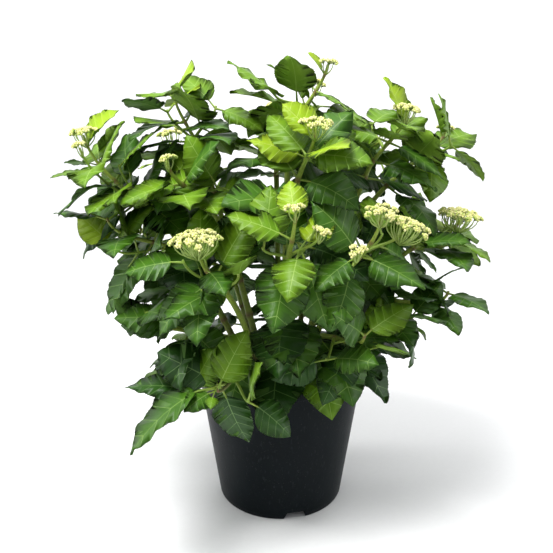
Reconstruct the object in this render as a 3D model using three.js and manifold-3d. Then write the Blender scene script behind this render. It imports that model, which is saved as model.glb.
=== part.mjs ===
// Hydrangea shrub standing in a round nursery pot.
// Millimetres, +Z up. The origin is the centre of the pot's flat underside.
// The pot holds a bed of potting mix. A woody stool sits on the mix, and canes and
// side boughs rise from it. Each limb ends where it enters its own mass of leaves.
import * as THREE from 'three';
import { mergeVertices } from 'three/addons/utils/BufferGeometryUtils.js';
import Module from 'manifold-3d';

const wasm = await Module();
wasm.setup();

// ---- pot -------------------------------------------------------------------
const POT_HEIGHT = 240;
const FOOT_RADIUS = 105.5;
const BODY_TOP_RADIUS = 138.5;
const LIP_RADIUS = 143;
const LIP_HEIGHT = 12;
const WALL = 2.6;
const FOOT_ROUND = 3;
const DISC_RADIUS = 72;      // middle of the underside, level with the foot
const CHANNEL_HEIGHT = 14;   // drainage channel between the disc and the foot ring
const CHANNEL_SLOPE = 4;
const FOOT_RING = 5;         // width of the ring that the pot stands on
const POT_SIDES = 32;

// ---- drainage notches in the foot ------------------------------------------
const NOTCH_COUNT = 3;
const NOTCH_FIRST = -77;     // degrees from +X, just right of the middle of the front
const NOTCH_TOP_WIDTH = 27;
const NOTCH_FOOT_WIDTH = 37;
const NOTCH_HEIGHT = 12.5;

// ---- potting mix and stool -------------------------------------------------
const MIX_LEVEL = 212;       // at the wall
const MIX_CROWN = 6;         // how much higher the middle stands
const MIX_LUMP = 1.6;
const STOOL_RADIUS = 34;
const STOOL_HEIGHT = 17;

// ---- limbs -----------------------------------------------------------------
const CANE_FOOT_RADIUS = 5.4;
const BOUGH_FOOT_RADIUS = 3.9;
const LIMB_TIP_RADIUS = 2.7;
const LIMB_FLARE = 1.35;     // the foot's swelling, as a factor of its radius
const LIMB_FLARE_LENGTH = 22;
const LIMB_SIDES = 6;
const LIMB_STEPS = 7;
const CANE_BOW = 0.26;       // how far a limb bows above its chord, as a part of its reach
const CANE_SUNK = 6;         // the curve of a cane starts this far below the mix

// ---- leaf masses -----------------------------------------------------------
const MASS_DETAIL = 2;       // subdivisions of the icosahedron
const MASS_FULLNESS = 1.12;  // scales the half sizes of every mass
const MASS_LUMP = 0.2;       // height of the uneven lobes, as a part of the mass
const TIP_SPREAD = 0.42;     // radians across which a mass rises to a leaf tip
const GAP = 0.3;             // clearance between neighbouring solids
const CUT_GROWTH = 0.55;     // growth of a cutting copy, so that slanted faces keep GAP too

// Each mass: centre, half sizes, turn about Z in degrees, and the leaf tips that it reaches.
// 'from' is the ground, with the place of the cane's foot, or the limb that its bough
// forks from and how far along.
const MASSES = [
  { name: 'far_left_upper', from: 'ground', foot: [-50, -4],
    centre: [-258, -48, 580], half: [68, 70, 50], turn: 10,
    tips: [[-338, -52, 566], [-318, -80, 598], [-240, -40, 646]] },
  { name: 'mid_left', from: 'far_left_upper', fork: 0.42,
    centre: [-204, -72, 466], half: [54, 64, 54], turn: -20,
    tips: [[-290, -70, 492], [-268, -80, 430], [-262, -76, 384]] },
  { name: 'low_left', from: 'ground', foot: [-54, -38],
    centre: [-166, -100, 336], half: [70, 58, 30], turn: 15,
    tips: [[-272, -100, 314], [-200, -80, 372]] },
  { name: 'top_left', from: 'ground', foot: [-26, -8],
    centre: [-136, -30, 632], half: [66, 74, 46], turn: 0,
    tips: [[-138, -30, 694], [-104, -30, 690], [-186, -50, 668]] },
  { name: 'inner_left', from: 'top_left', fork: 0.5,
    centre: [-132, -128, 548], half: [66, 60, 46], turn: 25,
    tips: [[-170, -170, 590]] },
  { name: 'front_left', from: 'ground', foot: [-26, -48],
    centre: [-98, -196, 442], half: [62, 60, 66], turn: 0,
    tips: [[-120, -262, 462], [-150, -190, 400]] },
  { name: 'front_low_left', from: 'front_left', fork: 0.4,
    centre: [-68, -196, 280], half: [60, 24, 42], turn: 5,
    tips: [[11, -200, 197], [-172, -176, 292], [-120, -190, 238]] },
  { name: 'front_centre', from: 'ground', foot: [0, -42],
    centre: [8, -196, 478], half: [54, 60, 66], turn: 0,
    tips: [[10, -268, 505]] },
  { name: 'upper_front', from: 'front_centre', fork: 0.5,
    centre: [26, -122, 596], half: [66, 56, 46], turn: -10,
    tips: [[32, -178, 636], [-34, -150, 590]] },
  { name: 'front_right', from: 'ground', foot: [30, -44],
    centre: [116, -182, 478], half: [60, 60, 64], turn: 0,
    tips: [[110, -255, 490], [170, -190, 540]] },
  { name: 'front_low_right', from: 'front_right', fork: 0.35,
    centre: [98, -162, 330], half: [66, 48, 48], turn: -10,
    tips: [[104, -165, 240], [172, -150, 356], [44, -175, 258]] },
  { name: 'top_centre', from: 'ground', foot: [4, -4],
    centre: [12, -12, 652], half: [70, 72, 50], turn: 0,
    tips: [[120, -20, 733], [20, -40, 706], [-40, -15, 710]] },
  { name: 'top_right', from: 'ground', foot: [28, -8],
    centre: [152, -42, 612], half: [62, 66, 50], turn: 0,
    tips: [[186, -40, 668], [205, -70, 618]] },
  { name: 'far_right_upper', from: 'top_right', fork: 0.5,
    centre: [238, 6, 582], half: [46, 62, 50], turn: 0,
    tips: [[286, -40, 606], [232, -20, 664]] },
  { name: 'far_right', from: 'ground', foot: [54, -18],
    centre: [230, -62, 468], half: [58, 66, 42], turn: 0,
    tips: [[314, -52, 437], [250, -120, 480], [296, -60, 400]] },
  { name: 'right_low', from: 'far_right', fork: 0.5,
    centre: [204, -76, 368], half: [54, 58, 38], turn: 20,
    tips: [[304, -56, 358], [232, -92, 292]] },
  { name: 'back_upper_left', from: 'ground', foot: [-34, 26],
    centre: [-160, 96, 560], half: [70, 66, 54], turn: 20,
    tips: [[-228, 130, 585], [-150, 150, 622]] },
  { name: 'back_upper', from: 'ground', foot: [-2, 26],
    centre: [-8, 122, 602], half: [66, 62, 52], turn: 0,
    tips: [[0, 150, 676], [40, 190, 610]] },
  { name: 'back_upper_right', from: 'ground', foot: [34, 24],
    centre: [142, 108, 556], half: [68, 64, 52], turn: -15,
    tips: [[215, 150, 580], [150, 120, 626]] },
  { name: 'back_left', from: 'back_upper_left', fork: 0.45,
    centre: [-214, 66, 420], half: [62, 64, 56], turn: 0,
    tips: [[-292, 80, 404], [-200, 140, 390]] },
  { name: 'back_low', from: 'back_upper', fork: 0.42,
    centre: [-68, 196, 432], half: [68, 56, 62], turn: 10,
    tips: [[-80, 270, 440], [-70, 230, 340]] },
  { name: 'back_right', from: 'back_upper_right', fork: 0.45,
    centre: [214, 84, 416], half: [58, 62, 54], turn: 0,
    tips: [[290, 100, 420], [230, 150, 380]] },
  { name: 'back_low_right', from: 'ground', foot: [22, 52],
    centre: [84, 200, 420], half: [66, 56, 60], turn: -10,
    tips: [[96, 268, 440], [110, 230, 330]] },
];

const MATERIALS = {
  pot: new THREE.MeshStandardMaterial({ color: 0x1b2024, roughness: 0.5, metalness: 0 }),
  mix: new THREE.MeshStandardMaterial({ color: 0x2b2019, roughness: 0.95, metalness: 0 }),
  stool: new THREE.MeshStandardMaterial({ color: 0x6b5a3c, roughness: 0.85, metalness: 0 }),
  cane: new THREE.MeshStandardMaterial({ color: 0x8c9650, roughness: 0.6, metalness: 0 }),
  leaves: new THREE.MeshStandardMaterial({ color: 0x3c6a24, roughness: 0.6, metalness: 0 }),
};

// A small repeatable generator of numbers from 0 to 1.
function makeRandom(seed) {
  let state = seed * 7919 + 17;
  return () => {
    state = (state * 48271) % 2147483647;
    return state / 2147483647;
  };
}

// ---- solids: from a geometry to a manifold solid and back -------------------
function toSolid(geometry) {
  const bare = geometry.clone();
  bare.deleteAttribute('normal');
  bare.deleteAttribute('uv');
  const merged = mergeVertices(bare, 1e-4);
  return new wasm.Manifold(new wasm.Mesh({
    numProp: 3,
    vertProperties: new Float32Array(merged.attributes.position.array),
    triVerts: new Uint32Array(merged.index.array),
  }));
}

function toGeometry(solid) {
  const mesh = solid.getMesh();
  const geometry = new THREE.BufferGeometry();
  geometry.setAttribute('position', new THREE.BufferAttribute(mesh.vertProperties, 3));
  geometry.setIndex(new THREE.BufferAttribute(mesh.triVerts, 1));
  geometry.computeVertexNormals();
  return geometry;
}

function lathe(profile, sides) {
  const points = profile.map(([radius, height]) => new THREE.Vector2(radius, height));
  const geometry = new THREE.LatheGeometry(points, sides);
  geometry.rotateX(Math.PI / 2);
  return geometry;
}

// Keeps the largest piece, since a cut can leave slivers behind.
function largestPiece(solid) {
  const pieces = solid.decompose();
  pieces.sort((a, b) => b.volume() - a.volume());
  return pieces[0];
}

// ---- pot ---------------------------------------------------------------------
function bodyRadius(height) {
  return FOOT_RADIUS + (BODY_TOP_RADIUS - FOOT_RADIUS) * height / (POT_HEIGHT - LIP_HEIGHT);
}

const CHANNEL_OUTER = FOOT_RADIUS - FOOT_RING;
const FLOOR_TOP = CHANNEL_HEIGHT + WALL;
const MIX_WALL = WALL + GAP;

function buildPot() {
  const lipFoot = POT_HEIGHT - LIP_HEIGHT;
  const profile = [
    [0, 0],
    [DISC_RADIUS, 0],
    [DISC_RADIUS + CHANNEL_SLOPE, CHANNEL_HEIGHT],
    [CHANNEL_OUTER - 1, CHANNEL_HEIGHT],
    [CHANNEL_OUTER, 0],
    [FOOT_RADIUS - FOOT_ROUND, 0],
    [FOOT_RADIUS - 1, 0.6],
    [bodyRadius(FOOT_ROUND), FOOT_ROUND],
    [bodyRadius(lipFoot - 3), lipFoot - 3],
    [LIP_RADIUS - 1.6, lipFoot - 1],
    [LIP_RADIUS - 0.4, lipFoot + 1],
    [LIP_RADIUS, POT_HEIGHT - 3],
    [LIP_RADIUS - 1.2, POT_HEIGHT - 0.4],
    [bodyRadius(lipFoot), POT_HEIGHT],
    [bodyRadius(lipFoot) - WALL + 1, POT_HEIGHT - 1],
    [bodyRadius(lipFoot) - WALL, lipFoot],
    [bodyRadius(FLOOR_TOP) - WALL, FLOOR_TOP],
    [DISC_RADIUS - WALL + CHANNEL_SLOPE, FLOOR_TOP],
    [DISC_RADIUS - WALL, WALL],
    [0, WALL],
  ];
  const notch = new THREE.Shape();
  notch.moveTo(-NOTCH_FOOT_WIDTH / 2, -1);
  notch.lineTo(NOTCH_FOOT_WIDTH / 2, -1);
  notch.lineTo(NOTCH_TOP_WIDTH / 2, NOTCH_HEIGHT);
  notch.lineTo(-NOTCH_TOP_WIDTH / 2, NOTCH_HEIGHT);
  let pot = toSolid(lathe(profile, POT_SIDES));
  for (let i = 0; i < NOTCH_COUNT; i += 1) {
    const cutter = new THREE.ExtrudeGeometry(notch, { depth: 2 * FOOT_RING + 20, bevelEnabled: false });
    cutter.rotateX(Math.PI / 2);
    cutter.translate(0, -(DISC_RADIUS + 2 * CHANNEL_SLOPE), 0);
    cutter.rotateZ(THREE.MathUtils.degToRad(NOTCH_FIRST + 90 + i * 360 / NOTCH_COUNT));
    pot = pot.subtract(toSolid(cutter));
  }
  return pot;
}

// ---- potting mix: fills the pot, with a lumpy crowned top ---------------------
function mixTop(x, y) {
  const out = Math.hypot(x, y) / BODY_TOP_RADIUS;
  const lumps = Math.sin(x / 17 + 1) * Math.cos(y / 21) + Math.sin((x - y) / 13);
  return MIX_LEVEL + MIX_CROWN * (1 - out * out) + MIX_LUMP * lumps * (1 - out ** 8);
}

function buildMix(growth) {
  const rings = [0.4, 0.75, 1];
  const rim = bodyRadius(MIX_LEVEL) - MIX_WALL;
  const profile = [
    [0, WALL + GAP],
    [DISC_RADIUS - WALL - 1, WALL + GAP],
    [DISC_RADIUS - WALL + CHANNEL_SLOPE - 1, FLOOR_TOP + GAP],
    [bodyRadius(FLOOR_TOP) - MIX_WALL, FLOOR_TOP + GAP],
    ...rings.slice().reverse().map((part) => [rim * part, MIX_LEVEL]),
    [0, MIX_LEVEL],
  ];
  const geometry = lathe(profile, POT_SIDES);
  const position = geometry.attributes.position;
  for (let i = 0; i < position.count; i += 1) {
    if (position.getZ(i) > MIX_LEVEL - 1) {
      position.setZ(i, mixTop(position.getX(i), position.getY(i)) + growth);
    }
  }
  return geometry;
}

// ---- stool: the low woody crown that the canes spring from --------------------
function buildStool(growth) {
  const profile = [
    [0, -8],
    [STOOL_RADIUS + growth, -8],
    [STOOL_RADIUS * 0.92 + growth, STOOL_HEIGHT * 0.45],
    [STOOL_RADIUS * 0.6 + growth, STOOL_HEIGHT * 0.9 + growth],
    [0, STOOL_HEIGHT + growth],
  ];
  const geometry = lathe(profile, 14);
  const position = geometry.attributes.position;
  for (let i = 0; i < position.count; i += 1) {
    const angle = Math.atan2(position.getY(i), position.getX(i));
    const swell = 1 + 0.12 * Math.sin(3 * angle + 0.7) + 0.07 * Math.sin(5 * angle);
    position.setX(i, position.getX(i) * swell);
    position.setY(i, position.getY(i) * swell);
  }
  geometry.translate(0, 0, MIX_LEVEL + MIX_CROWN);
  return geometry;
}

// ---- limbs: a tapering spindle carried along a curve --------------------------
function limbCurve(foot, end) {
  const reach = Math.hypot(end.x - foot.x, end.y - foot.y);
  const rise = end.z - foot.z;
  const bow = Math.min(CANE_BOW * reach, Math.max(0.26 * rise, 4));
  const lift = new THREE.Vector3(0, 0, bow);
  const first = foot.clone().lerp(end, 1 / 3).add(lift);
  const second = foot.clone().lerp(end, 2 / 3).add(lift);
  return new THREE.CubicBezierCurve3(foot, first, second, end);
}

function limbRadius(footRadius, along, length) {
  const taper = footRadius + (LIMB_TIP_RADIUS - footRadius) * along;
  const flare = (LIMB_FLARE - 1) * Math.exp(-along * length / LIMB_FLARE_LENGTH);
  return taper * (1 + flare);
}

function buildLimb(curve, footRadius, growth) {
  const length = curve.getLength();
  const frames = curve.computeFrenetFrames(LIMB_STEPS, false);
  const profile = [[0, 0]];
  for (let i = 0; i <= LIMB_STEPS; i += 1) {
    profile.push([limbRadius(footRadius, i / LIMB_STEPS, length) + growth, i]);
  }
  profile.push([0, LIMB_STEPS]);
  const geometry = lathe(profile, LIMB_SIDES);
  const position = geometry.attributes.position;
  const place = new THREE.Vector3();
  for (let i = 0; i < position.count; i += 1) {
    const step = Math.round(position.getZ(i));
    place.copy(curve.getPointAt(step / LIMB_STEPS));
    place.addScaledVector(frames.normals[step], position.getX(i));
    place.addScaledVector(frames.binormals[step], position.getY(i));
    position.setXYZ(i, place.x, place.y, place.z);
  }
  return geometry;
}

// ---- leaf mass: an icosahedron with uneven lobes, pulled out to its leaf tips --
function massRadius(direction, mass, lobes) {
  const [a, b, c] = mass.half.map((size) => size * MASS_FULLNESS);
  const plain = 1 / Math.hypot(direction.x / a, direction.y / b, direction.z / c);
  let swell = 1;
  for (const lobe of lobes) {
    const near = Math.max(direction.dot(lobe.axis), 0);
    swell += MASS_LUMP * lobe.size * near ** 6;
  }
  return plain * swell;
}

function buildMass(mass, seed, growth) {
  const random = makeRandom(seed + 1);
  const lobes = [];
  for (let i = 0; i < 9; i += 1) {
    const axis = new THREE.Vector3(random() - 0.5, random() - 0.5, random() - 0.5).normalize();
    lobes.push({ axis, size: 2 * random() - 0.9 });
  }
  const turn = THREE.MathUtils.degToRad(mass.turn);
  const up = new THREE.Vector3(0, 0, 1);
  const centre = new THREE.Vector3(...mass.centre);
  const tips = mass.tips.map((tip) => {
    const arm = new THREE.Vector3(...tip).sub(centre).applyAxisAngle(up, -turn);
    return { length: arm.length(), axis: arm.normalize() };
  });
  const geometry = mergeVertices(bareIcosahedron(), 1e-4);
  const position = geometry.attributes.position;
  const directions = [];
  const radii = [];
  for (let i = 0; i < position.count; i += 1) {
    const direction = new THREE.Vector3().fromBufferAttribute(position, i).normalize();
    directions.push(direction);
    radii.push(massRadius(direction, mass, lobes));
  }
  for (const tip of tips) {
    const nearest = directions.reduce((best, d, i) => (
      d.dot(tip.axis) > directions[best].dot(tip.axis) ? i : best), 0);
    const rise = tip.length - radii[nearest];
    directions.forEach((direction, i) => {
      const angle = direction.angleTo(tip.axis);
      radii[i] += rise * Math.exp(-((angle / TIP_SPREAD) ** 2)) * 0.8;
    });
    directions[nearest].copy(tip.axis);
    radii[nearest] = tip.length;
  }
  directions.forEach((direction, i) => {
    const place = direction.clone().multiplyScalar(radii[i] + growth).applyAxisAngle(up, turn);
    place.add(centre);
    position.setXYZ(i, place.x, place.y, place.z);
  });
  return geometry;
}

function bareIcosahedron() {
  const geometry = new THREE.IcosahedronGeometry(1, MASS_DETAIL);
  geometry.deleteAttribute('normal');
  geometry.deleteAttribute('uv');
  return geometry;
}

// ---- assembly ------------------------------------------------------------------
const group = new THREE.Group();

function addPart(name, solid, material) {
  const mesh = new THREE.Mesh(toGeometry(solid), material.clone());
  mesh.name = name;
  group.add(mesh);
}

addPart('pot', buildPot(), MATERIALS.pot);
addPart('potting_mix', toSolid(buildMix(0)), MATERIALS.mix);

const mixCutter = toSolid(buildMix(CUT_GROWTH));
const stool = largestPiece(toSolid(buildStool(0)).subtract(mixCutter));
addPart('root_stool', stool, MATERIALS.stool);
const stoolCutter = toSolid(buildStool(CUT_GROWTH));

// Masses take their shape in turn, each one cut back from those before it.
const massCutters = [];
MASSES.forEach((mass, index) => {
  let solid = toSolid(buildMass(mass, index, 0));
  for (const cutter of massCutters) {
    solid = solid.subtract(cutter);
  }
  solid = largestPiece(solid);
  addPart(`leaves_${mass.name}`, solid, MATERIALS.leaves);
  massCutters.push(toSolid(buildMass(mass, index, CUT_GROWTH)));
});

function caneFoot([x, y]) {
  return new THREE.Vector3(x, y, mixTop(x, y) - CANE_SUNK);
}

const limbs = {};
MASSES.forEach((mass) => {
  const end = new THREE.Vector3(...mass.centre);
  const fromGround = mass.from === 'ground';
  const foot = fromGround ? caneFoot(mass.foot) : limbs[mass.from].curve.getPointAt(mass.fork);
  const footRadius = fromGround ? CANE_FOOT_RADIUS : BOUGH_FOOT_RADIUS;
  const curve = limbCurve(foot, end);
  let solid = toSolid(buildLimb(curve, footRadius, 0));
  const cutters = [mixCutter, stoolCutter, ...massCutters];
  if (!fromGround) {
    cutters.push(limbs[mass.from].cutter);
  }
  for (const cutter of cutters) {
    solid = solid.subtract(cutter);
  }
  solid = largestPiece(solid);
  limbs[mass.name] = { curve, cutter: toSolid(buildLimb(curve, footRadius, CUT_GROWTH)) };
  const prefix = fromGround ? 'cane' : 'bough';
  addPart(`${prefix}_${mass.name}`, solid, MATERIALS.cane);
});

export default group;
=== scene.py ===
# %% [markdown]
# # A potted hydrangea, grown around a fixed frame
#
# The frame holds the plain solids of the plant: a pot, its potting mix, a woody
# stool, the canes with their side boughs, and one closed mass for each cloud of
# leaves. This lesson keeps every one of those places and sizes, and grows the real
# surface around them: bark on the canes, shoots, leaves with their veins, and the
# budded flower heads. Each shape is a formula worked out with numpy on whole
# arrays, so one call makes hundreds of leaves at once.

# %% Load the frame
import bpy
import numpy as np
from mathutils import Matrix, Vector


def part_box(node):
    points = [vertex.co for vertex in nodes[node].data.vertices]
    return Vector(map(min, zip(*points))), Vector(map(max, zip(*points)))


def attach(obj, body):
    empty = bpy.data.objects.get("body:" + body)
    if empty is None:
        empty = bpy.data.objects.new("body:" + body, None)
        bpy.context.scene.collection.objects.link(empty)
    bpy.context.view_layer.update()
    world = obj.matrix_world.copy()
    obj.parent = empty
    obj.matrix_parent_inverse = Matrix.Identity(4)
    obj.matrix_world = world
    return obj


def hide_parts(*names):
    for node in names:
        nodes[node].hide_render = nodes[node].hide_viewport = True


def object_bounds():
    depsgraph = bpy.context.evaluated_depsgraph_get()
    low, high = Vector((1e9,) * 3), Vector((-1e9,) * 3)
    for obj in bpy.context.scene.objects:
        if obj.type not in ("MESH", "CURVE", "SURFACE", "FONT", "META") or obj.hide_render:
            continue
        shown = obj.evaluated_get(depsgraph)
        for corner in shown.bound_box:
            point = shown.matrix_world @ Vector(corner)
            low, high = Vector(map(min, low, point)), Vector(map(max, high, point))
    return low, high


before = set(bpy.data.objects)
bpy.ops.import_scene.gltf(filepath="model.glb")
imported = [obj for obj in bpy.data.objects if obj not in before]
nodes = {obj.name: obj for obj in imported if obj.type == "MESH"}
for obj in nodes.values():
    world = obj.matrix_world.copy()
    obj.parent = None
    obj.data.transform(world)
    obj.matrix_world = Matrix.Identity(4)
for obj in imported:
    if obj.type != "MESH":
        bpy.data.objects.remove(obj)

cad_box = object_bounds()
MASS_NAMES = sorted(n[len("leaves_"):] for n in nodes if n.startswith("leaves_"))
LIMB_NODES = {n.split("_", 1)[1]: n for n in sorted(nodes) if n.startswith(("cane_", "bough_"))}
print(len(MASS_NAMES), "masses,", len(LIMB_NODES), "limbs")

# %% [markdown]
# ## Camera, floor and light
#
# A nursery shows its plants on a plain pale ground, from a little above the
# rim of the pot, under broad soft light. The camera stands a metre in front and
# looks down by fifteen degrees. It is a little left of the pot's axis, which puts
# the pot just right of the middle of the frame.

# %% Camera
scene = bpy.context.scene
CAMERA_PLACE = (-0.0068, -1.073, 0.676)
CAMERA_TILT_DOWN = 15.2
CAMERA_LENS = 44.1

camera = bpy.data.objects.new("camera", bpy.data.cameras.new("camera"))
scene.collection.objects.link(camera)
camera.location = CAMERA_PLACE
camera.rotation_euler = (np.radians(90 - CAMERA_TILT_DOWN), 0, 0)
camera.data.lens = CAMERA_LENS
camera.data.sensor_width = 36
scene.camera = camera
print("camera", round(-CAMERA_PLACE[1], 2), "m in front, looking down", CAMERA_TILT_DOWN, "degrees")

# %% [markdown]
# ## Small tools
#
# Everything on a plant repeats: leaves, veins, stalks and buds. So the mesh tools
# work on many copies at once. A shape is a table of faces that is made once, and an
# array of places with one row for each copy. A `Heap` collects such batches and
# turns them into one joined mesh.

# %% Vectors
def unit(v):
    """Each vector divided by its own length."""
    return v / np.maximum(np.linalg.norm(v, axis=-1, keepdims=True), 1e-9)


def across(direction, roughly):
    """The unit vector square to direction that lies nearest to the rough one."""
    return unit(roughly - direction * np.sum(direction * roughly, -1, keepdims=True))


def from_angles(azimuth, elevation):
    """Unit vectors from degrees about Z and above level; azimuth 0 is +X, -90 the front."""
    a, e = np.radians(azimuth), np.radians(elevation)
    return np.stack([np.cos(a) * np.cos(e), np.sin(a) * np.cos(e), np.sin(e) + 0 * a], -1)


print("the front lies towards", from_angles(-90, 0).round(3))

# %% Batches of one shape, joined into a mesh
class Heap:
    """Batches of points and faces, kept apart by finish until they become one mesh."""

    def __init__(self):
        self.points, self.corners, self.sizes, self.finishes, self.count = [], [], [], [], 0

    def add(self, points, faces, finish=0):
        """points is (copies, points, 3); faces is a list of corner lists that all copies share."""
        copies, each = points.shape[:2]
        flat = np.concatenate([np.asarray(f) for f in faces])
        sizes = np.array([len(f) for f in faces])
        shifts = self.count + each * np.arange(copies)
        self.points.append(points.reshape(-1, 3))
        self.corners.append((flat[None] + shifts[:, None]).ravel())
        self.sizes.append(np.tile(sizes, copies))
        self.finishes.append(np.tile(np.broadcast_to(finish, (len(faces),)), copies))
        self.count += copies * each

    def piece(self, name, materials, smooth=True):
        """Joins the batches into one mesh object at the origin."""
        corners, sizes = np.concatenate(self.corners), np.concatenate(self.sizes)
        mesh = bpy.data.meshes.new(name)
        mesh.vertices.add(self.count)
        mesh.vertices.foreach_set("co", np.concatenate(self.points).astype(np.float32).ravel())
        mesh.loops.add(len(corners))
        mesh.loops.foreach_set("vertex_index", corners.astype(np.int32))
        mesh.polygons.add(len(sizes))
        mesh.polygons.foreach_set("loop_start", (np.cumsum(sizes) - sizes).astype(np.int32))
        mesh.polygons.foreach_set("material_index", np.concatenate(self.finishes).astype(np.int32))
        mesh.polygons.foreach_set("use_smooth", np.full(len(sizes), smooth))
        mesh.update(calc_edges=True)
        for material in materials:
            mesh.materials.append(material)
        thing = bpy.data.objects.new(name, mesh)
        scene.collection.objects.link(thing)
        print(f"{name}: {int((sizes - 2).sum())} triangles")
        return thing


# %% Tubes along many paths at once
def tube_faces(rings, sides):
    """Quads between rings of points, and a fan of triangles at each closed end."""
    ring = np.arange(sides)
    after = (ring + 1) % sides
    faces = []
    for r in range(rings - 1):
        low, high = r * sides, (r + 1) * sides
        faces += np.stack([low + ring, low + after, high + after, high + ring], -1).tolist()
    foot, tip, last = rings * sides, rings * sides + 1, (rings - 1) * sides
    faces += [[foot, b, a] for a, b in zip(ring.tolist(), after.tolist())]
    faces += [[tip, last + a, last + b] for a, b in zip(ring.tolist(), after.tolist())]
    return faces


def tubes(paths, radii, sides, relief=None):
    """A circle of the given radius carried along each path.

    A point is path + radius * (cos(turn) * side + sin(turn) * other). relief, if any,
    multiplies the radius at each ring and turn.
    """
    paths = np.asarray(paths, float)
    along = unit(np.gradient(paths, axis=1))
    mean = unit(along.mean(1))
    helper = np.where(np.abs(mean[:, 2:]) > 0.8, [[1.0, 0, 0]], [[0, 0, 1.0]])[:, None]
    side = across(along, np.broadcast_to(helper, along.shape))
    other = np.cross(along, side)
    turn = 2 * np.pi * np.arange(sides) / sides
    spread = np.broadcast_to(radii, paths.shape[:2])[..., None]
    spread = spread * (1 if relief is None else relief)
    rim = (paths[:, :, None]
           + (spread * np.cos(turn))[..., None] * side[:, :, None]
           + (spread * np.sin(turn))[..., None] * other[:, :, None])
    ends = paths[:, [0, -1]]
    points = np.concatenate([rim.reshape(len(paths), -1, 3), ends], 1)
    return points, tube_faces(paths.shape[1], sides)


print("a tube of 6 rings and 6 sides has", len(tube_faces(6, 6)), "faces")

# %% Curves that leave and arrive in a given way
def bend_between(start, start_way, end, end_way, steps):
    """Hermite curves: they leave start along start_way and reach end along end_way."""
    t = np.linspace(0, 1, steps)[:, None]
    reach = np.linalg.norm(end - start, axis=-1, keepdims=True)[..., None, :]
    start, end = start[..., None, :], end[..., None, :]
    start_way, end_way = start_way[..., None, :] * reach, end_way[..., None, :] * reach
    return ((2 * t**3 - 3 * t**2 + 1) * start + (t**3 - 2 * t**2 + t) * start_way
            + (3 * t**2 - 2 * t**3) * end + (t**3 - t**2) * end_way)


upwards = np.array([0, 0, 1.0])
arch = bend_between(np.zeros(3), upwards, np.array([1.0, 0, 0]), -upwards, 9)
print("an arch one metre wide rises to", arch[:, 2].max().round(3), "m")

# %% [markdown]
# ## Finishes as written sums
#
# A finish is a small net of shader nodes. Written as nodes it is long and hard to
# read, so a `Value` wraps one output socket and turns `+`, `-` and `*` into Math nodes.
# A `Finish` makes the material, and its one method `node` adds any other kind of node
# with its settings and its inputs.

# %% Value and Finish
class Value:
    """A number that varies over a surface. Sums and products of it become Math nodes."""

    def __init__(self, finish, socket):
        self.finish, self.socket = finish, socket

    def sum(self, operation, first, second):
        """One Math node on two numbers or Values."""
        return self.finish.node("ShaderNodeMath", {"operation": operation}, {0: first, 1: second})

    def __add__(self, other):
        return self.sum("ADD", self, other)

    def __radd__(self, other):
        return self.sum("ADD", other, self)

    def __sub__(self, other):
        return self.sum("SUBTRACT", self, other)

    def __rsub__(self, other):
        return self.sum("SUBTRACT", other, self)

    def __mul__(self, other):
        return self.sum("MULTIPLY", self, other)

    def __rmul__(self, other):
        return self.sum("MULTIPLY", other, self)

    def between(self, low, high):
        """0 where the value is under low, 1 over high, and a straight ramp between them."""
        return self.finish.node("ShaderNodeMapRange", {"clamp": True}, {0: self, 1: low, 2: high})


class Finish:
    """A material in the making, built on its Principled shader."""

    def __init__(self, name, roughness=0.5, **constants):
        self.material = bpy.data.materials.new(name)
        self.material.use_nodes = True
        self.tree = self.material.node_tree
        self.shader = self.tree.nodes["Principled BSDF"]
        self.shader.inputs["Roughness"].default_value = roughness
        for socket, value in constants.items():
            self.shader.inputs[socket.replace("_", " ")].default_value = value

    def node(self, kind, settings=None, inputs=None, output=0):
        """Adds a node: its settings first, then the numbers, colours or links of its sockets."""
        node = self.tree.nodes.new(kind)
        for name, value in (settings or {}).items():
            setattr(node, name, value)
        for name, value in (inputs or {}).items():
            self.feed(node.inputs[name], value)
        return Value(self, node.outputs[output])

    def feed(self, socket, value):
        """Links a Value to a socket, or sets a plain number or colour on it."""
        if isinstance(value, Value):
            self.tree.links.new(value.socket, socket)
        else:
            socket.default_value = value

    def place(self):
        """The point's own place on the object, in metres."""
        return self.node("ShaderNodeTexCoord", output="Object")

    def noise(self, size, detail=2.0, stretch=None):
        """Soft random patches about `size` metres across, from 0 to 1."""
        where = self.place()
        if stretch:
            where = self.node("ShaderNodeVectorMath", {"operation": "MULTIPLY"},
                              {0: where, 1: stretch})
        return self.node("ShaderNodeTexNoise", None,
                         {"Vector": where, "Scale": 1 / size, "Detail": detail})

    def mix(self, amount, first, second):
        """A colour between two colours."""
        return self.node("ShaderNodeMix", {"data_type": "RGBA"},
                         {0: amount, 6: first, 7: second}, output=2)

    def colour(self, value):
        """Feeds the base colour."""
        self.feed(self.shader.inputs["Base Color"], value)

    def roughness(self, value):
        """Feeds the roughness."""
        self.feed(self.shader.inputs["Roughness"], value)

    def relief(self, height, distance):
        """A bump of the given depth in metres where height goes from 0 to 1."""
        bump = self.node("ShaderNodeBump", None, {"Height": height, "Distance": distance})
        self.feed(self.shader.inputs["Normal"], bump)


def rgb(red, green, blue):
    """A colour in linear light, with full alpha."""
    return (red, green, blue, 1.0)


print("a middle grey in linear light is", rgb(0.18, 0.18, 0.18))

# %% [markdown]
# ## Measuring the frame
#
# The frame's limbs are rings of points carried along a curve. A cubic curve fitted to
# those points by least squares runs down the middle of the limb, because every ring
# is even about its centre. The distance of the points from that curve gives the
# limb's taper. A mass is measured by how far its surface lies from its middle in any
# direction, so a leaf can be told to end exactly on it.

# %% Limbs: centre line and taper
def node_points(name):
    """All corner points of one frame solid, in metres."""
    flat = np.zeros(len(nodes[name].data.vertices) * 3)
    nodes[name].data.vertices.foreach_get("co", flat)
    return flat.reshape(-1, 3)


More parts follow.
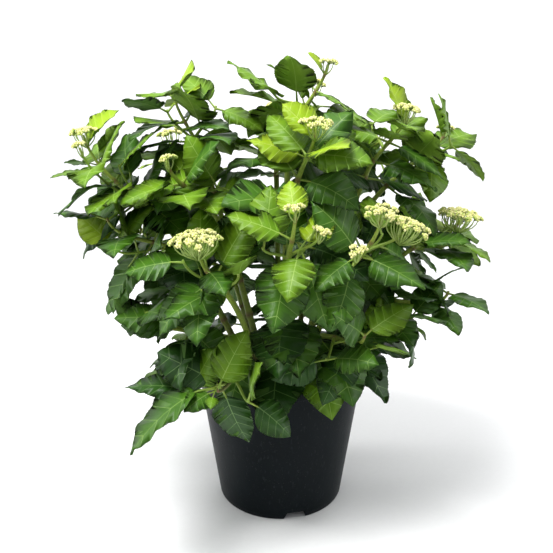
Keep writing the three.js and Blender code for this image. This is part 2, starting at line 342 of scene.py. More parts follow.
def spread_evenly(path, steps):
    """The same path with its points at equal distances along it."""
    lengths = np.r_[0, np.cumsum(np.linalg.norm(np.diff(path, axis=0), axis=1))]
    at = np.linspace(0, lengths[-1], steps)
    return np.stack([np.interp(at, lengths, path[:, k]) for k in range(3)], -1)


LINE_POINTS = 40
END_POINTS = 3               # at either end of the line, where the flat caps spoil the radius
THINNEST_TIP = 0.0022


def measure_limb(name, towards):
    """The centre line of a limb from its foot to the end nearest `towards`, and its two radii."""
    points = np.unique(np.round(node_points(name), 6), axis=0)
    middle = points.mean(0)
    axis = np.linalg.svd(points - middle)[2][0]
    u = (points - middle) @ axis
    fit = np.polynomial.polynomial.polyfit(u, points, 3)
    t = np.linspace(u.min(), u.max(), LINE_POINTS)
    line = np.stack([np.polynomial.polynomial.polyval(t, fit[:, k]) for k in range(3)], -1)
    if np.linalg.norm(line[0] - towards) < np.linalg.norm(line[-1] - towards):
        line = line[::-1]
    line = spread_evenly(line, LINE_POINTS)
    gaps = np.linalg.norm(points[:, None] - line[None], axis=2)
    nearest = gaps.argmin(1)
    body = (nearest >= END_POINTS) & (nearest < LINE_POINTS - END_POINTS)
    slope, foot = np.polyfit(nearest[body] / (LINE_POINTS - 1), gaps.min(1)[body], 1)
    return line, foot, max(foot + slope, THINNEST_TIP)


REACH_SHARPNESS = 40         # how strongly the corners nearest to a direction count


class Mass:
    """One cloud of leaves: its middle, and how far its surface lies in any direction."""

    def __init__(self, name):
        self.name = name
        self.points = np.unique(np.round(node_points("leaves_" + name), 6), axis=0)
        self.middle = (self.points.max(0) + self.points.min(0)) / 2
        arms = self.points - self.middle
        self.lengths = np.linalg.norm(arms, axis=1)
        self.ways = unit(arms)

    def reach(self, way):
        """The surface's distance: a mean of the solid's corners, weighted to the nearest."""
        weight = np.exp(REACH_SHARPNESS * (way @ self.ways.T - 1))
        return (weight * self.lengths).sum(-1) / weight.sum(-1)

    def depth(self, place):
        """0 at the middle, 1 on the surface, more outside."""
        arm = place - self.middle
        return np.linalg.norm(arm, axis=-1) / self.reach(unit(arm))

    def surface(self, azimuth, elevation, part=1.0):
        """A point in a direction, at a part of the way to the surface."""
        way = from_angles(azimuth, elevation)
        return self.middle + way * self.reach(way)[..., None] * part


masses = {name: Mass(name) for name in MASS_NAMES}
limbs = {}
for name, node in LIMB_NODES.items():
    limbs[name] = measure_limb(node, masses[name].middle)
lengths = {n: np.linalg.norm(np.diff(l[0], axis=0), axis=1).sum() for n, l in limbs.items()}
print("longest limb", max(lengths, key=lengths.get), round(max(lengths.values()), 3), "m")

# %% [markdown]
# ## The leaf
#
# A hydrangea leaf is broad and oval with a drawn-out tip and a saw-toothed edge. Its
# side veins leave the midrib and sweep forward to the edge, and the blade swells
# between them. The grid of the blade follows those veins. Each row of points runs
# from the midrib along a vein to the edge: a pair of close rows for each vein, down in
# its furrow, and one row on the swelling between. The narrow faces between a pair are
# the pale vein itself, so it needs no painting. The teeth are extra points on the
# edge only, which keeps the outline fine and the blade light. A flat card with a
# cut-out pattern would be lighter still, but it would have no furrows to catch light.

# %% The leaf's surface as a function of two parameters
SIDE_VEINS = 5
HALF_SPACES = 2 * (SIDE_VEINS + 1)
VEIN_HALF_WIDTH = 0.0045     # in the leaf's length, like the midrib's
MIDRIB_HALF_WIDTH = 0.012
BLADE_HALF_WIDTH = 0.36      # of a usual leaf, in its length
RIB_DEPTH = 0.0015           # of the midrib below the blade
PLEAT = 0.0085               # depth of the furrow over a vein at the edge, in the leaf's length
ROUND_FOOT, DRAWN_TIP = 0.60, 1.02
WIDEST = ROUND_FOOT / (ROUND_FOOT + DRAWN_TIP)


def outline(t):
    """Half width from stalk to tip: t^foot * (1 - t)^tip, scaled to 1 where it is widest."""
    t = np.clip(t, 0, 1)
    return t**ROUND_FOOT * (1 - t)**DRAWN_TIP / (WIDEST**ROUND_FOOT * (1 - WIDEST)**DRAWN_TIP)


print("a leaf is widest at", round(WIDEST, 2), "of its length")


def leaf_surface(leaves, r, s, tooth, below):
    """Points of many leaves at the same parameters.

    r runs from the stalk (0) to the tip (1) and s across from edge (-1) to edge (1).
    A vein that meets the edge at r starts on the midrib at r^1.6. Across, the blade is
    folded up by `fold`, hollowed by `cup`, waved along its edge and furrowed at the
    veins, deeper towards the edge. Along, the midrib is an arc that turns down by `bend` radians.
    """
    def each(key):
        """One number of every leaf, as a column."""
        return leaves[key][:, None]

    length, width = each("length"), each("width")
    start = r**1.6
    t = start + (r - start) * np.abs(s)**1.3
    y = s * width * outline(r) * tooth
    part = np.abs(y) / width
    furrow = np.cos(np.pi * HALF_SPACES * r) * np.abs(s)
    wave = np.sin(2 * np.pi * (each("waves") * t + each("phase") + 0.3 * np.sign(s))) * s**2
    z = (width * (each("fold") * part - each("cup") * part**2 + each("wave") * wave)
         - PLEAT * length * furrow - below)
    lean = each("twist") * t
    y, z = y * np.cos(lean) - z * np.sin(lean), y * np.sin(lean) + z * np.cos(lean)
    turn = each("bend") * t
    x = length * np.sin(turn) / each("bend") + z * np.sin(turn)
    up = -length * (1 - np.cos(turn)) / each("bend") + z * np.cos(turn)
    y = y + each("sweep") * length * t**2
    return (leaves["base"][:, None] + x[..., None] * leaves["along"][:, None]
            + y[..., None] * leaves["side"][:, None] + up[..., None] * leaves["up"][:, None])


# %% The leaf's points and faces, made once
TEETH = [(0.30, 1.025), (0.42, 0.985), (0.72, 1.03), (0.84, 0.985)]
UPPER, VEIN, UNDER = 0, 1, 2


def leaf_template():
    """Parameters of one leaf's points, its faces and their finishes. Both sheets share the edge."""
    r, s, tooth, below, faces, finishes = [], [], [], [], [], []
    rows = [(0, 0)]
    for vein in range(1, SIDE_VEINS + 1):
        rows += [(2 * vein - 1, 0), (2 * vein, -1), (2 * vein, 1)]
    rows += [(HALF_SPACES - 1, 0), (HALF_SPACES, 0)]

    def point(along, over, factor=0.99, under=0.0):
        """Adds a point by its parameters and returns its number."""
        r.append(along)
        s.append(over)
        tooth.append(factor)
        below.append(under)
        return len(r) - 1

    def row_at(row, over):
        """Where a row crosses: a vein's two rows draw together towards the edge."""
        return row[0] / HALF_SPACES + row[1] * VEIN_HALF_WIDTH * (1 - 0.6 * abs(over))

    def midrib(along):
        """Half the midrib's width, as a part of the half blade. It narrows to the tip."""
        half = BLADE_HALF_WIDTH * float(outline(along))
        return min(0.5, MIDRIB_HALF_WIDTH * (1 - 0.75 * along) / half)

    ends = (0, HALF_SPACES)
    upper = []
    for row in rows:
        if row[0] in ends:
            upper.append([point(row_at(row, 0), 0.0)] * 4)
        else:
            rib = midrib(row[0] / HALF_SPACES)
            upper.append([point(row_at(row, over), over) for over in (-1, -rib, rib, 1)])

    edges = {-1: [], 1: []}
    for k, row in enumerate(rows):
        for side, column in ((-1, 0), (1, 3)):
            edges[side].append(upper[k][column])
            if k + 1 < len(rows) and row[1] > -1:
                low, high = row_at(row, 1), row_at(rows[k + 1], 1)
                edges[side] += [point(low + (high - low) * at, side, factor) for at, factor in TEETH]

    def add(face, finish):
        """Adds a face, without the corners that repeat at the two ends of the leaf."""
        faces.append([p for k, p in enumerate(face) if p != face[k - 1]])
        finishes.append(finish)

    def edge_between(side, this, after):
        """The edge's points from one row to another, with the teeth between them."""
        run = edges[side]
        column = 0 if side < 0 else 3
        return run[run.index(this[column]):run.index(after[column]) + 1]

    for k in range(len(rows) - 1):
        finish = VEIN if rows[k][1] == -1 else UPPER
        this, after = upper[k], upper[k + 1]
        add(edge_between(-1, this, after) + [after[1], this[1]], finish)
        add((edge_between(1, this, after) + [after[2], this[2]])[::-1], finish)

    lows = [k for k, row in enumerate(rows) if row[1] < 1]
    veins = [k for k in lows if rows[k][1] == -1 or rows[k][0] in ends]
    lower = {}
    for k in lows:
        rib = midrib(rows[k][0] / HALF_SPACES) if rows[k][0] not in ends else 0
        lower[k] = [point(rows[k][0] / HALF_SPACES, side * rib, 0.99, RIB_DEPTH) if rib else upper[k][0]
                    for side in (-1, 1)]
    for start, stop in zip(lows, lows[1:]):
        this, after = upper[start], upper[stop]
        add((edge_between(-1, this, after) + [lower[stop][0], lower[start][0]])[::-1], UNDER)
        add(edge_between(1, this, after) + [lower[stop][1], lower[start][1]], UNDER)
    for start, stop in zip(veins, veins[1:]):
        above, under = range(start, stop + 1), [k for k in lows if start <= k <= stop]
        add([upper[k][1] for k in above] + [upper[k][2] for k in above][::-1], VEIN)
        add([lower[k][1] for k in under] + [lower[k][0] for k in under][::-1], VEIN)
    return np.array(r), np.array(s), np.array(tooth), np.array(below), faces, np.array(finishes)


LEAF = leaf_template()
print("a leaf has", len(LEAF[0]), "points and", len(LEAF[4]), "faces")

# %% [markdown]
# ## Finishes of the leaf
#
# Hydrangea blades are waxy and finely pebbled. They are dark blue-green when they are
# old or shaded, and yellow-green when young. The underside is paler, greyer and dull.
# Each finish has its own base colour, so a whole spray can be dealt one of them, and
# soft patches and a fine relief keep any blade from being flat. Leaves high in the crown
# are dealt the lighter finishes and low ones the darker, which is painted light and shade.

# %% Leaf finishes
def blade_finish(name, base, sunlit, roughness):
    """A waxy blade: its base colour, broad lighter patches, and a fine pebbled surface."""
    finish = Finish(name, Specular_IOR_Level=0.30)
    patch = finish.noise(0.035).between(0.38, 0.68)
    grain = finish.noise(0.0035, detail=3.0)
    finish.colour(finish.mix(0.6 * patch + 0.3 * grain, base, sunlit))
    finish.roughness(roughness + 0.16 * (grain - 0.5))
    finish.relief(grain, 0.0004)
    return finish.material


def stalk_finish(name, base, flush):
    """Smooth green stalk or vein with faint streaks and patches of a second colour."""
    finish = Finish(name, Specular_IOR_Level=0.4)
    streak = finish.noise(0.0015, stretch=(1.0, 1.0, 0.12))
    patch = finish.noise(0.018).between(0.5, 0.72)
    finish.colour(finish.mix(0.35 * streak + 0.6 * patch, base, flush))
    finish.roughness(0.42 + 0.2 * streak)
    finish.relief(streak, 0.0003)
    return finish.material


TONE_NAMES = ["deep", "green", "light", "young"]
BLADES = [
    blade_finish("blade_deep", rgb(0.014, 0.055, 0.006), rgb(0.027, 0.088, 0.007), 0.42),
    blade_finish("blade_green", rgb(0.032, 0.105, 0.006), rgb(0.062, 0.160, 0.007), 0.45),
    blade_finish("blade_light", rgb(0.090, 0.205, 0.006), rgb(0.150, 0.275, 0.008), 0.48),
    blade_finish("blade_young", rgb(0.220, 0.365, 0.008), rgb(0.310, 0.440, 0.013), 0.50),
]
VEINS = [
    stalk_finish("vein_deep", rgb(0.10, 0.20, 0.05), rgb(0.16, 0.27, 0.08)),
    stalk_finish("vein_green", rgb(0.14, 0.26, 0.04), rgb(0.21, 0.33, 0.08)),
    stalk_finish("vein_light", rgb(0.22, 0.37, 0.05), rgb(0.30, 0.43, 0.09)),
    stalk_finish("vein_young", rgb(0.36, 0.49, 0.07), rgb(0.44, 0.54, 0.13)),
]
UNDERSIDES = [
    blade_finish("underside_grey", rgb(0.060, 0.140, 0.022), rgb(0.090, 0.190, 0.032), 0.64),
    blade_finish("underside_bright", rgb(0.130, 0.260, 0.018), rgb(0.190, 0.320, 0.030), 0.62),
]
stalk_green = stalk_finish("stalk_green", rgb(0.17, 0.29, 0.03), rgb(0.30, 0.37, 0.06))
print(len(BLADES), "blade finishes,", len(VEINS), "vein finishes,", len(UNDERSIDES), "undersides")

# %% [markdown]
# ## How the shrub grows
#
# A hydrangea cane ends in a flower head. Below it the leaves stand in opposite pairs,
# and each pair is turned a quarter turn from the last. Pairs near the head are small,
# bright and upright. Further down they are large and dark, and they hang. Side shoots
# leave from the joints and repeat the same rule. The rule is seeded, so it always
# grows the same shrub.
#
# A shrub sheds what it can't use, so a leaf whose best place is still crowded is left
# out. A leaf that would touch the pot is left out too. The lowest pair of each outer
# cane hangs over the rim.
#
# Leaves turn into free space, because they shade each other. So each one is offered a
# few poses, and takes the one that is least crowded and ends nearest to its mass's
# surface. That keeps the crown's outline and leaves its gaps open. It spreads the
# blades apart, but it doesn't rule out a crossing, and many still cut a neighbour.

# %% Which limbs flower, and where their heads stand
SEED = 11
dice = np.random.default_rng(SEED)
HEAD_WIDTH = {"none": 0.0, "small": 0.028, "middling": 0.048, "large": 0.070}
HEADS = {
    "far_left_upper": ["middling", "small"], "inner_left": ["small"], "front_left": ["large"],
    "front_centre": ["small", "small"], "upper_front": ["middling"],
    "front_right": ["middling", "large", "small"], "top_centre": ["small", "small"],
    "top_right": ["middling"], "far_right_upper": ["small"], "far_right": ["large", "middling"],
    "back_upper_left": ["middling"], "back_upper": ["large"], "back_upper_right": ["middling"],
    "back_left": ["middling"], "back_low": ["large"], "back_right": ["small"],
    "back_low_right": ["middling"],
}
HEAD_DEPTH = 0.80            # of the way from a mass's middle to its surface
HEAD_TURNS = [0, 65, -65]    # of up to three heads on a limb, in degrees from outwards
HEAD_RISES = [50, 22, 5]     # and in degrees above level
corners = np.concatenate([mass.points for mass in masses.values()])
crown_middle = (corners.max(0) + corners.min(0)) / 2


def head_places(mass, count):
    """Places on a mass, at angles counted from the way out of the crown's middle.

    The first head faces out and up. The others stand lower, to either side.
    """
    outward = mass.middle - crown_middle
    azimuth = np.degrees(np.arctan2(outward[1], outward[0]))
    turns = np.array(HEAD_TURNS)[:count] + dice.normal(0, 8, count)
    rises = np.array(HEAD_RISES)[:count] + dice.normal(0, 5, count)
    return [mass.surface(azimuth + turn, rise, HEAD_DEPTH) for turn, rise in zip(turns, rises)]


print(sum(len(sizes) for sizes in HEADS.values()), "flower heads on", len(HEADS), "of", len(masses), "limbs")

# %% Crowding, and one leaf
CROWD_REACH = 0.021          # how near another blade shades a leaf, in metres
FRONT = from_angles(-90, 15)
NEARLY_UP = np.array([0.01, 0.02, 1.0])
taken = [np.full((1, 3), 9.0)]
leaf_rows = []


def blade_spots(base, tip, side, width):
    """Twelve spots spread over a blade: four along it by three across."""
    along = np.array([0.2, 0.45, 0.7, 0.98])
    half = width * np.array([0.75, 0.95, 0.6, 0.0])
    middle = base + (tip - base) * along[:, None]
    return (middle[:, None] + side * half[:, None, None] * np.array([-1, 0, 1])[:, None]).reshape(-1, 3)


def crowding(spots):
    """How much of what has already grown lies within a short reach of these spots."""
    gaps = ((spots[:, None] - np.concatenate(taken)[None])**2).sum(-1)
    return np.exp(-gaps / CROWD_REACH**2).sum() / len(spots)


def add_leaf(joint, base, tip, tone, bend, facing, width, fold=0.2, twist=0.0):
    """One leaf from its joint on the stem, by the ends of its blade and how far it arches.

    The arch turns by `bend` and leaves the base at half of that above the chord, so its
    length is chord * (bend / 2) / sin(bend / 2).
    """
    chord = tip - base
    chord_length = np.linalg.norm(chord)
    way = chord / chord_length
    face = across(way, np.asarray(facing, float))
    along = np.cos(bend / 2) * way + np.sin(bend / 2) * face
    up = np.cos(bend / 2) * face - np.sin(bend / 2) * way
    length = chord_length * (bend / 2) / np.sin(bend / 2)
    side = np.cross(up, along)
    taken.append(blade_spots(base, tip, side, width * length))
    leaf_rows.append(dict(
        joint=joint, base=base, along=along, up=up, side=side, length=length,
        width=width * length, bend=bend, fold=fold, cup=dice.uniform(0.0, 0.22), twist=twist,
        wave=dice.uniform(0.03, 0.10), waves=dice.uniform(1.6, 3.0), phase=dice.uniform(0, 1),
        sweep=dice.uniform(-0.06, 0.06), tone=int(np.clip(np.round(tone), 0, 3))))


def keep_open(spots, way, reach):
    """Marks the space in front of these spots as taken, so that nothing grows across them."""
    taken.append(np.concatenate([spots + way * step for step in np.linspace(0, reach, 10)]))


print("blades nearer than", CROWD_REACH, "m shade each other")

# %% Leaves keep clear of the pot and inside the frame's box
POT_CLEARANCE = 0.010
frame_low, frame_high = (np.array(corner) for corner in cad_box)
pot_high = np.array(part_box("pot")[1])


def sunk(spots):
    """How far the lowest of some spots that lie over the pot is below its rim, in metres."""
    over = np.hypot(spots[:, 0], spots[:, 1]) < pot_high[0] + POT_CLEARANCE
    return (over * (pot_high[2] + POT_CLEARANCE - spots[:, 2])).max().clip(0)


def overreach(spots):
    """How far the furthest of some spots lies outside the frame's box, in metres."""
    return max((spots - frame_high).max(), (frame_low - spots).max(), 0.0)


def drawn_in(base, tip):
    """The tip, moved towards the base by a seventh at a time until it is inside the frame's box."""
    while overreach(tip) > 0:
        tip = base + (tip - base) * 6 / 7
    return tip


print("the rim stands at", round(pot_high[2], 3), "m, and the crown ends at", round(frame_high[2], 3), "m")

# %% Leaf pairs along a shoot
# One value for each pair, from the head down; places and lengths are in metres.
PAIR_BELOW_HEAD = np.array([0.014, 0.046, 0.084, 0.124, 0.168, 0.212])
PAIR_LENGTH = np.array([0.068, 0.100, 0.120, 0.130, 0.120, 0.108])
PAIR_STALK = np.array([0.006, 0.013, 0.020, 0.026, 0.028, 0.026])
PAIR_RISE = np.radians([52, 30, 12, 0, -12, -20])
PAIR_DROOP = np.array([0.0, 0.10, 0.22, 0.42, 0.60, 0.70])
PAIR_BEND = np.array([0.35, 0.55, 0.75, 0.85, 0.90, 0.90])
PAIR_TONE = np.array([2.1, 1.6, 1.1, 0.7, 0.3, 0.0])
PAINTED_LIGHT_BY_HEIGHT = 0.75        # painted light and shade: how much lighter a leaf's tone is dealt for each 0.2 m its tip stands above the crown's middle, and darker below it
CHOICES = 12
LEAN_SPREAD = 0.22
TONE_SPREAD = 0.45
HALF_BREADTH = 0.42          # of a blade while poses are tried, as a part of its length
SUNK_COST = 900.0            # for each metre below the rim
OVERREACH_COST = 60          # for each metre outside the frame's box
TIP_BAND = (0.85, 1.04)      # where tips should end, as parts of the way to their mass's surface
SHORT_COST = 2.0             # of a tip nearer the middle than that
FAR_COST = 12                # and of one further out
TURNED_COST = 0.6            # of a leaf turned away from its natural way
LENGTH_GAIN = 9              # for each metre of blade
SHED_CROWDING = 4.6          # leaves in deeper shade than this have dropped
FURTHEST_TIP = 1.12          # a leaf that still ends further out is shortened
SHORTENED = 0.8
BARE_FOOT = 0.11             # of a cane, where no pair grows
LAST_PAIR = 0.004            # below the end of a shoot that has no head


def grow_leaf(mass, joint, way, k, vigour):
    """Offers the leaf several poses about its natural one, and grows the cheapest.

    A pose costs its crowding and what the values above add to it. A leaf that is still
    too crowded, or still below the rim, doesn't grow.
    """
    best = None
    for _ in range(CHOICES):
        stray = dice.normal(0, LEAN_SPREAD, 3)
        droop = PAIR_DROOP[k] * dice.uniform(0.4, 1.3)
        lean = unit(way + stray - [0, 0, droop])
        stalk = PAIR_STALK[k] * dice.uniform(0.8, 1.4)
        base = joint + stalk * unit(lean + [0, 0, 0.25])
        length = PAIR_LENGTH[k] * vigour * dice.uniform(0.82, 1.12)
        tip = base + lean * length
        depth = mass.depth(tip[None])[0]
        side = np.cross(across(lean, NEARLY_UP), lean)
        spots = blade_spots(base, tip, side, HALF_BREADTH * length)
        crowd = crowding(spots)
        cost = (crowd + SUNK_COST * sunk(spots) + FAR_COST * max(depth - TIP_BAND[1], 0)
                + SHORT_COST * max(TIP_BAND[0] - depth, 0) + OVERREACH_COST * overreach(tip)
                + TURNED_COST * np.linalg.norm(lean - way) - LENGTH_GAIN * length)
        if best is None or cost < best[0]:
            best = (cost, base, tip, crowd, sunk(spots))
    cost, base, tip, crowd, below_rim = best
    if crowd > SHED_CROWDING or below_rim > 0:
        return
    if mass.depth(tip[None])[0] > FURTHEST_TIP:
        tip = base + (tip - base) * SHORTENED
    tip = drawn_in(base, tip)
    outward = unit((tip - crown_middle) * [0.8, 1.4, 0.3])
    # painted light and shade: a leaf high in the crown is dealt a lighter finish and a low one a darker
    # finish, on top of the tone that its age on the shoot gives it
    height = (tip[2] - crown_middle[2]) / 0.2
    tone = PAIR_TONE[k] + dice.normal(0, TONE_SPREAD) + PAINTED_LIGHT_BY_HEIGHT * height
    bend = PAIR_BEND[k] * dice.uniform(0.5, 1.15)
    facing = np.array([0, 0, 1.0]) + 0.75 * outward + dice.normal(0, 0.22, 3)
    add_leaf(joint, base, tip, tone, bend, facing, dice.uniform(0.34, 0.41),
             fold=dice.uniform(0.02, 0.18) + 0.3 * (k == 0), twist=dice.normal(0, 0.25))


def leaf_pairs(path, mass, vigour, most, bare, head):
    """Opposite pairs down a shoot, each a quarter turn from the last. Returns the joints.

    A shoot with no head ends in its second pair, drawn up to its tip.
    """
    steps = np.linalg.norm(np.diff(path, axis=0), axis=1)
    from_tip = np.r_[0, np.cumsum(steps[::-1])]
    backwards, ways = path[::-1], unit(np.gradient(path, axis=0))[::-1]
    turn, joints = dice.uniform(0, np.pi), []
    drawn_up = 0 if head else PAIR_BELOW_HEAD[1] - LAST_PAIR
    for k in range(0 if head else 1, most):
        distance = (PAIR_BELOW_HEAD[k] - drawn_up) * dice.uniform(0.9, 1.12)
        if distance > from_tip[-1] - bare:
            break
        joint = np.array([np.interp(distance, from_tip, backwards[:, a]) for a in range(3)])
        stem = unit(np.array([np.interp(distance, from_tip, ways[:, a]) for a in range(3)]))
        side = across(stem, np.array([1.0, 0.2, 0.1]))
        angle = turn + k * np.pi / 2 + dice.uniform(-0.25, 0.25)
        out = np.cos(angle) * side + np.sin(angle) * np.cross(stem, side)
        joints.append(joint)
        for sign in (1, -1):
            way = sign * out * np.cos(PAIR_RISE[k]) + stem * np.sin(PAIR_RISE[k])
            grow_leaf(mass, joint, way, k, vigour)
    return joints


print("up to", len(PAIR_LENGTH), "pairs, the longest blade about", PAIR_LENGTH.max(), "m")

# %% The lowest pair of an outer cane, over the rim of the pot
RIM_JOINT = 0.045            # height of that pair's joint above the rim
RIM_CANE_OUT = 0.045         # a cane nearer the middle than this bears none
RIM_LEAF_LENGTH = 0.115


def rim_pair(path):
    """Two old leaves to either side of the way out, hanging over the rim."""
    joint = path[np.abs(path[:, 2] - pot_high[2] - RIM_JOINT).argmin()]
    if np.hypot(*joint[:2]) < RIM_CANE_OUT:
        return
    azimuth = np.degrees(np.arctan2(joint[1], joint[0]))
    for side in (1, -1):
        best = None
        for _ in range(CHOICES):
            way = from_angles(azimuth + side * dice.uniform(5, 60), -dice.uniform(12, 50))
            base = joint + dice.uniform(0.018, 0.030) * unit(way * [1, 1, 0])
            tip = drawn_in(base, base + way * RIM_LEAF_LENGTH * dice.uniform(0.8, 1.08))
            across_blade = np.cross(across(way, NEARLY_UP), way)
            spots = blade_spots(base, tip, across_blade, HALF_BREADTH * RIM_LEAF_LENGTH)
            crowd = crowding(spots) + SUNK_COST * sunk(spots)
            if best is None or crowd < best[0]:
                best = (crowd, base, tip, way)
        crowd, base, tip, way = best
        facing = np.array([0, 0, 1.0]) + 0.8 * way + dice.normal(0, 0.15, 3)
        if crowd < SHED_CROWDING:
            tone, width = dice.uniform(0, 2.2), dice.uniform(0.36, 0.41)
            add_leaf(joint, base, tip, tone, 0.6, facing, width, 0.12)


print("leaves over the rim leave their canes", RIM_JOINT, "m above it")

# %% [markdown]
# ## Growing it, in the order that light would
#
# The limbs of the frame end inside their masses, so each one is carried on to its first
# head, and side shoots fork off towards the others. On the real plant the flower heads
# and the long canes at the front stay in sight. Leaves that hide them could be deleted
# afterwards, but that leaves holes. So the space in front of them is marked as taken
# before any leaf grows, and the leaves turn to their sides.

# %% Grow every cane, its side shoots and their leaves
SPARE_SHOOTS = 2             # without a head, in every mass
SPARE_DEPTH = 0.62           # of the way from its middle to its surface
SHOOT_POINTS = 14
CANE_POINTS = 90
CANE_VIGOUR = 1.06           # leaves on a cane are a little longer than on a side shoot
CANE_PAIRS = 6
OPEN_CANE_PAIRS = 3
SHOOT_PAIRS = 4
SHOOT_BARE = 0.010           # of a side shoot, at its fork
OPEN_CANES = ("front_left", "front_centre", "front_right")
OPEN_FROM = 0.27             # height above which nothing grows across those canes
OPEN_REACH_CANE = 0.07
OPEN_REACH_HEAD = 0.06
heads, canes, shoots = [], [], []
for name in MASS_NAMES:
    mass = masses[name]
    line, foot_radius, tip_radius = limbs[name]
    sizes = HEADS.get(name, ["none"])
    ends = list(zip(head_places(mass, len(sizes)), [HEAD_WIDTH[size] for size in sizes]))
    spare = dice.uniform(0, 360)
    ends += [(mass.surface(spare + 360 / SPARE_SHOOTS * k, dice.uniform(-15, 35), SPARE_DEPTH), 0)
             for k in range(SPARE_SHOOTS)]
    (end, width), *others = ends
    arrive = unit(unit(end - mass.middle) * [0.25, 0.25, 0.1] + [0, 0, 0.8])
    leader = bend_between(line[-1], unit(line[-1] - line[-4]), end, arrive, 16)
    path = spread_evenly(np.concatenate([line, leader[1:]]), CANE_POINTS)
    canes.append([name, path, foot_radius, tip_radius])
    heads.append((end, arrive, width))
    for end, width in others:
        fork = leader[int(dice.integers(1, 8))]
        rise = unit(unit(end - fork) * 0.4 + [0, 0, 0.8])
        leave = unit(unit(end - fork) + [0, 0, 0.3])
        shoots.append((mass, bend_between(fork, leave, end, rise, SHOOT_POINTS), width > 0))
        heads.append((end, rise, width))

for end, rise, width in heads:
    if width:
        ring = np.concatenate([end + width * 0.4 * from_angles(np.arange(0, 360, 60.0), 0), end[None]])
        outward = unit((end - crown_middle) * [1, 1, 0] + [0, 0, 0.08])
        keep_open(np.concatenate([ring, ring - rise * 0.012]), outward, OPEN_REACH_HEAD)
for path in [path for _, path, _, _ in canes] + [path for _, path, _ in shoots]:
    taken.append(path[::5])
for name in OPEN_CANES:
    path = next(cane[1] for cane in canes if cane[0] == name)
    keep_open(path[path[:, 2] > OPEN_FROM][::3], FRONT, OPEN_REACH_CANE)

for name, path, _, _ in canes:
    rim_pair(path)

for cane in canes:
    name, path = cane[:2]
    most = OPEN_CANE_PAIRS if name in OPEN_CANES else CANE_PAIRS
    cane.append(leaf_pairs(path, masses[name], CANE_VIGOUR, most, BARE_FOOT, name in HEADS))
for mass, path, head in shoots:
    leaf_pairs(path, mass, 1.0, SHOOT_PAIRS, SHOOT_BARE, head)
flowering = sum(width > 0 for _, _, width in heads)
print(len(leaf_rows), "leaves,", len(shoots), "side shoots,", flowering, "flower heads")

# %% [markdown]
# ## Blades, stalks and shoots as meshes
#
# The leaves are now rows of numbers, so one call works out the points of every blade of
# a tone. Linked copies of one blade would be lighter, but no two real leaves have the
# same length, fold and bend, so the blades are worked out one by one and joined by
# tone. A stalk is a short tube that leaves the joint and slips under the blade's foot.

# %% Blades and stalks as joined pieces
leaves = {key: np.array([row[key] for row in leaf_rows]) for key in leaf_rows[0]}
pieces = []
for index, tone in enumerate(TONE_NAMES):
    group = {key: values[leaves["tone"] == index] for key, values in leaves.items()}
    heap = Heap()
    heap.add(leaf_surface(group, *LEAF[:4]), *LEAF[4:])
    blades = heap.piece("blades_" + tone, [BLADES[index], VEINS[index], UNDERSIDES[index // 2]])
    pieces.append((blades, "leaf_young" if index > 1 else "leaf"))

STALK_SIDES, SHOOT_SIDES = 6, 7
STALK_RADIUS = 0.0017        # of a blade a tenth of a metre long
SHOOT_FOOT_RADIUS, SHOOT_TIP_RADIUS = 0.0026, 0.0016
heap = Heap()
paths = bend_between(leaves["joint"], unit(leaves["base"] - leaves["joint"]),
                     leaves["base"] + 0.003 * leaves["along"], leaves["along"], 6)
radii = STALK_RADIUS * np.sqrt(leaves["length"] / 0.1)[:, None] * np.linspace(1.3, 0.8, 6)
heap.add(*tubes(paths, radii, STALK_SIDES))
shoot_paths = np.array([path for _, path, _ in shoots])
radii = np.linspace(SHOOT_FOOT_RADIUS, SHOOT_TIP_RADIUS, SHOOT_POINTS)
heap.add(*tubes(shoot_paths, radii, SHOOT_SIDES))
pieces.append((heap.piece("leaf_stalks_and_shoots", [stalk_green]), "cane"))

# %% [markdown]
# ## Canes and their bark
#
# A young hydrangea cane is smooth and yellow-green, with a purple-brown ring at each
# joint. Near the foot it turns to wood: grey-brown, ridged, with bark that splits
# lengthways. A curve with a round bevel would be quicker, but it would be smooth from
# end to end. Here the tube is worked out ring by ring, so its radius swells at the
# joints, and ridges run along it that fade as the cane grows greener. Two marks on its
# points say how woody the cane is and how near a joint, and the finish mixes its
# colours by them.

# %% Canes with joints, flare and ridges
RING_SPACING = 0.0035
CANE_SIDES = 12
CANE_TIP_RADIUS = 0.0017
WOODY_LENGTH = 0.07          # above the mix, where half of the bark is still wood
WOODY_FADE = 0.018
JOINT_SPACING = 0.06         # of the joints that have lost their leaves
LEAFY_LENGTH = 0.2           # at the end of a cane, where the joints bear leaves
JOINT_SWELLING = 0.22
JOINT_LENGTH = 0.0038
mix_summit = node_points("potting_mix")[:, 2].max()


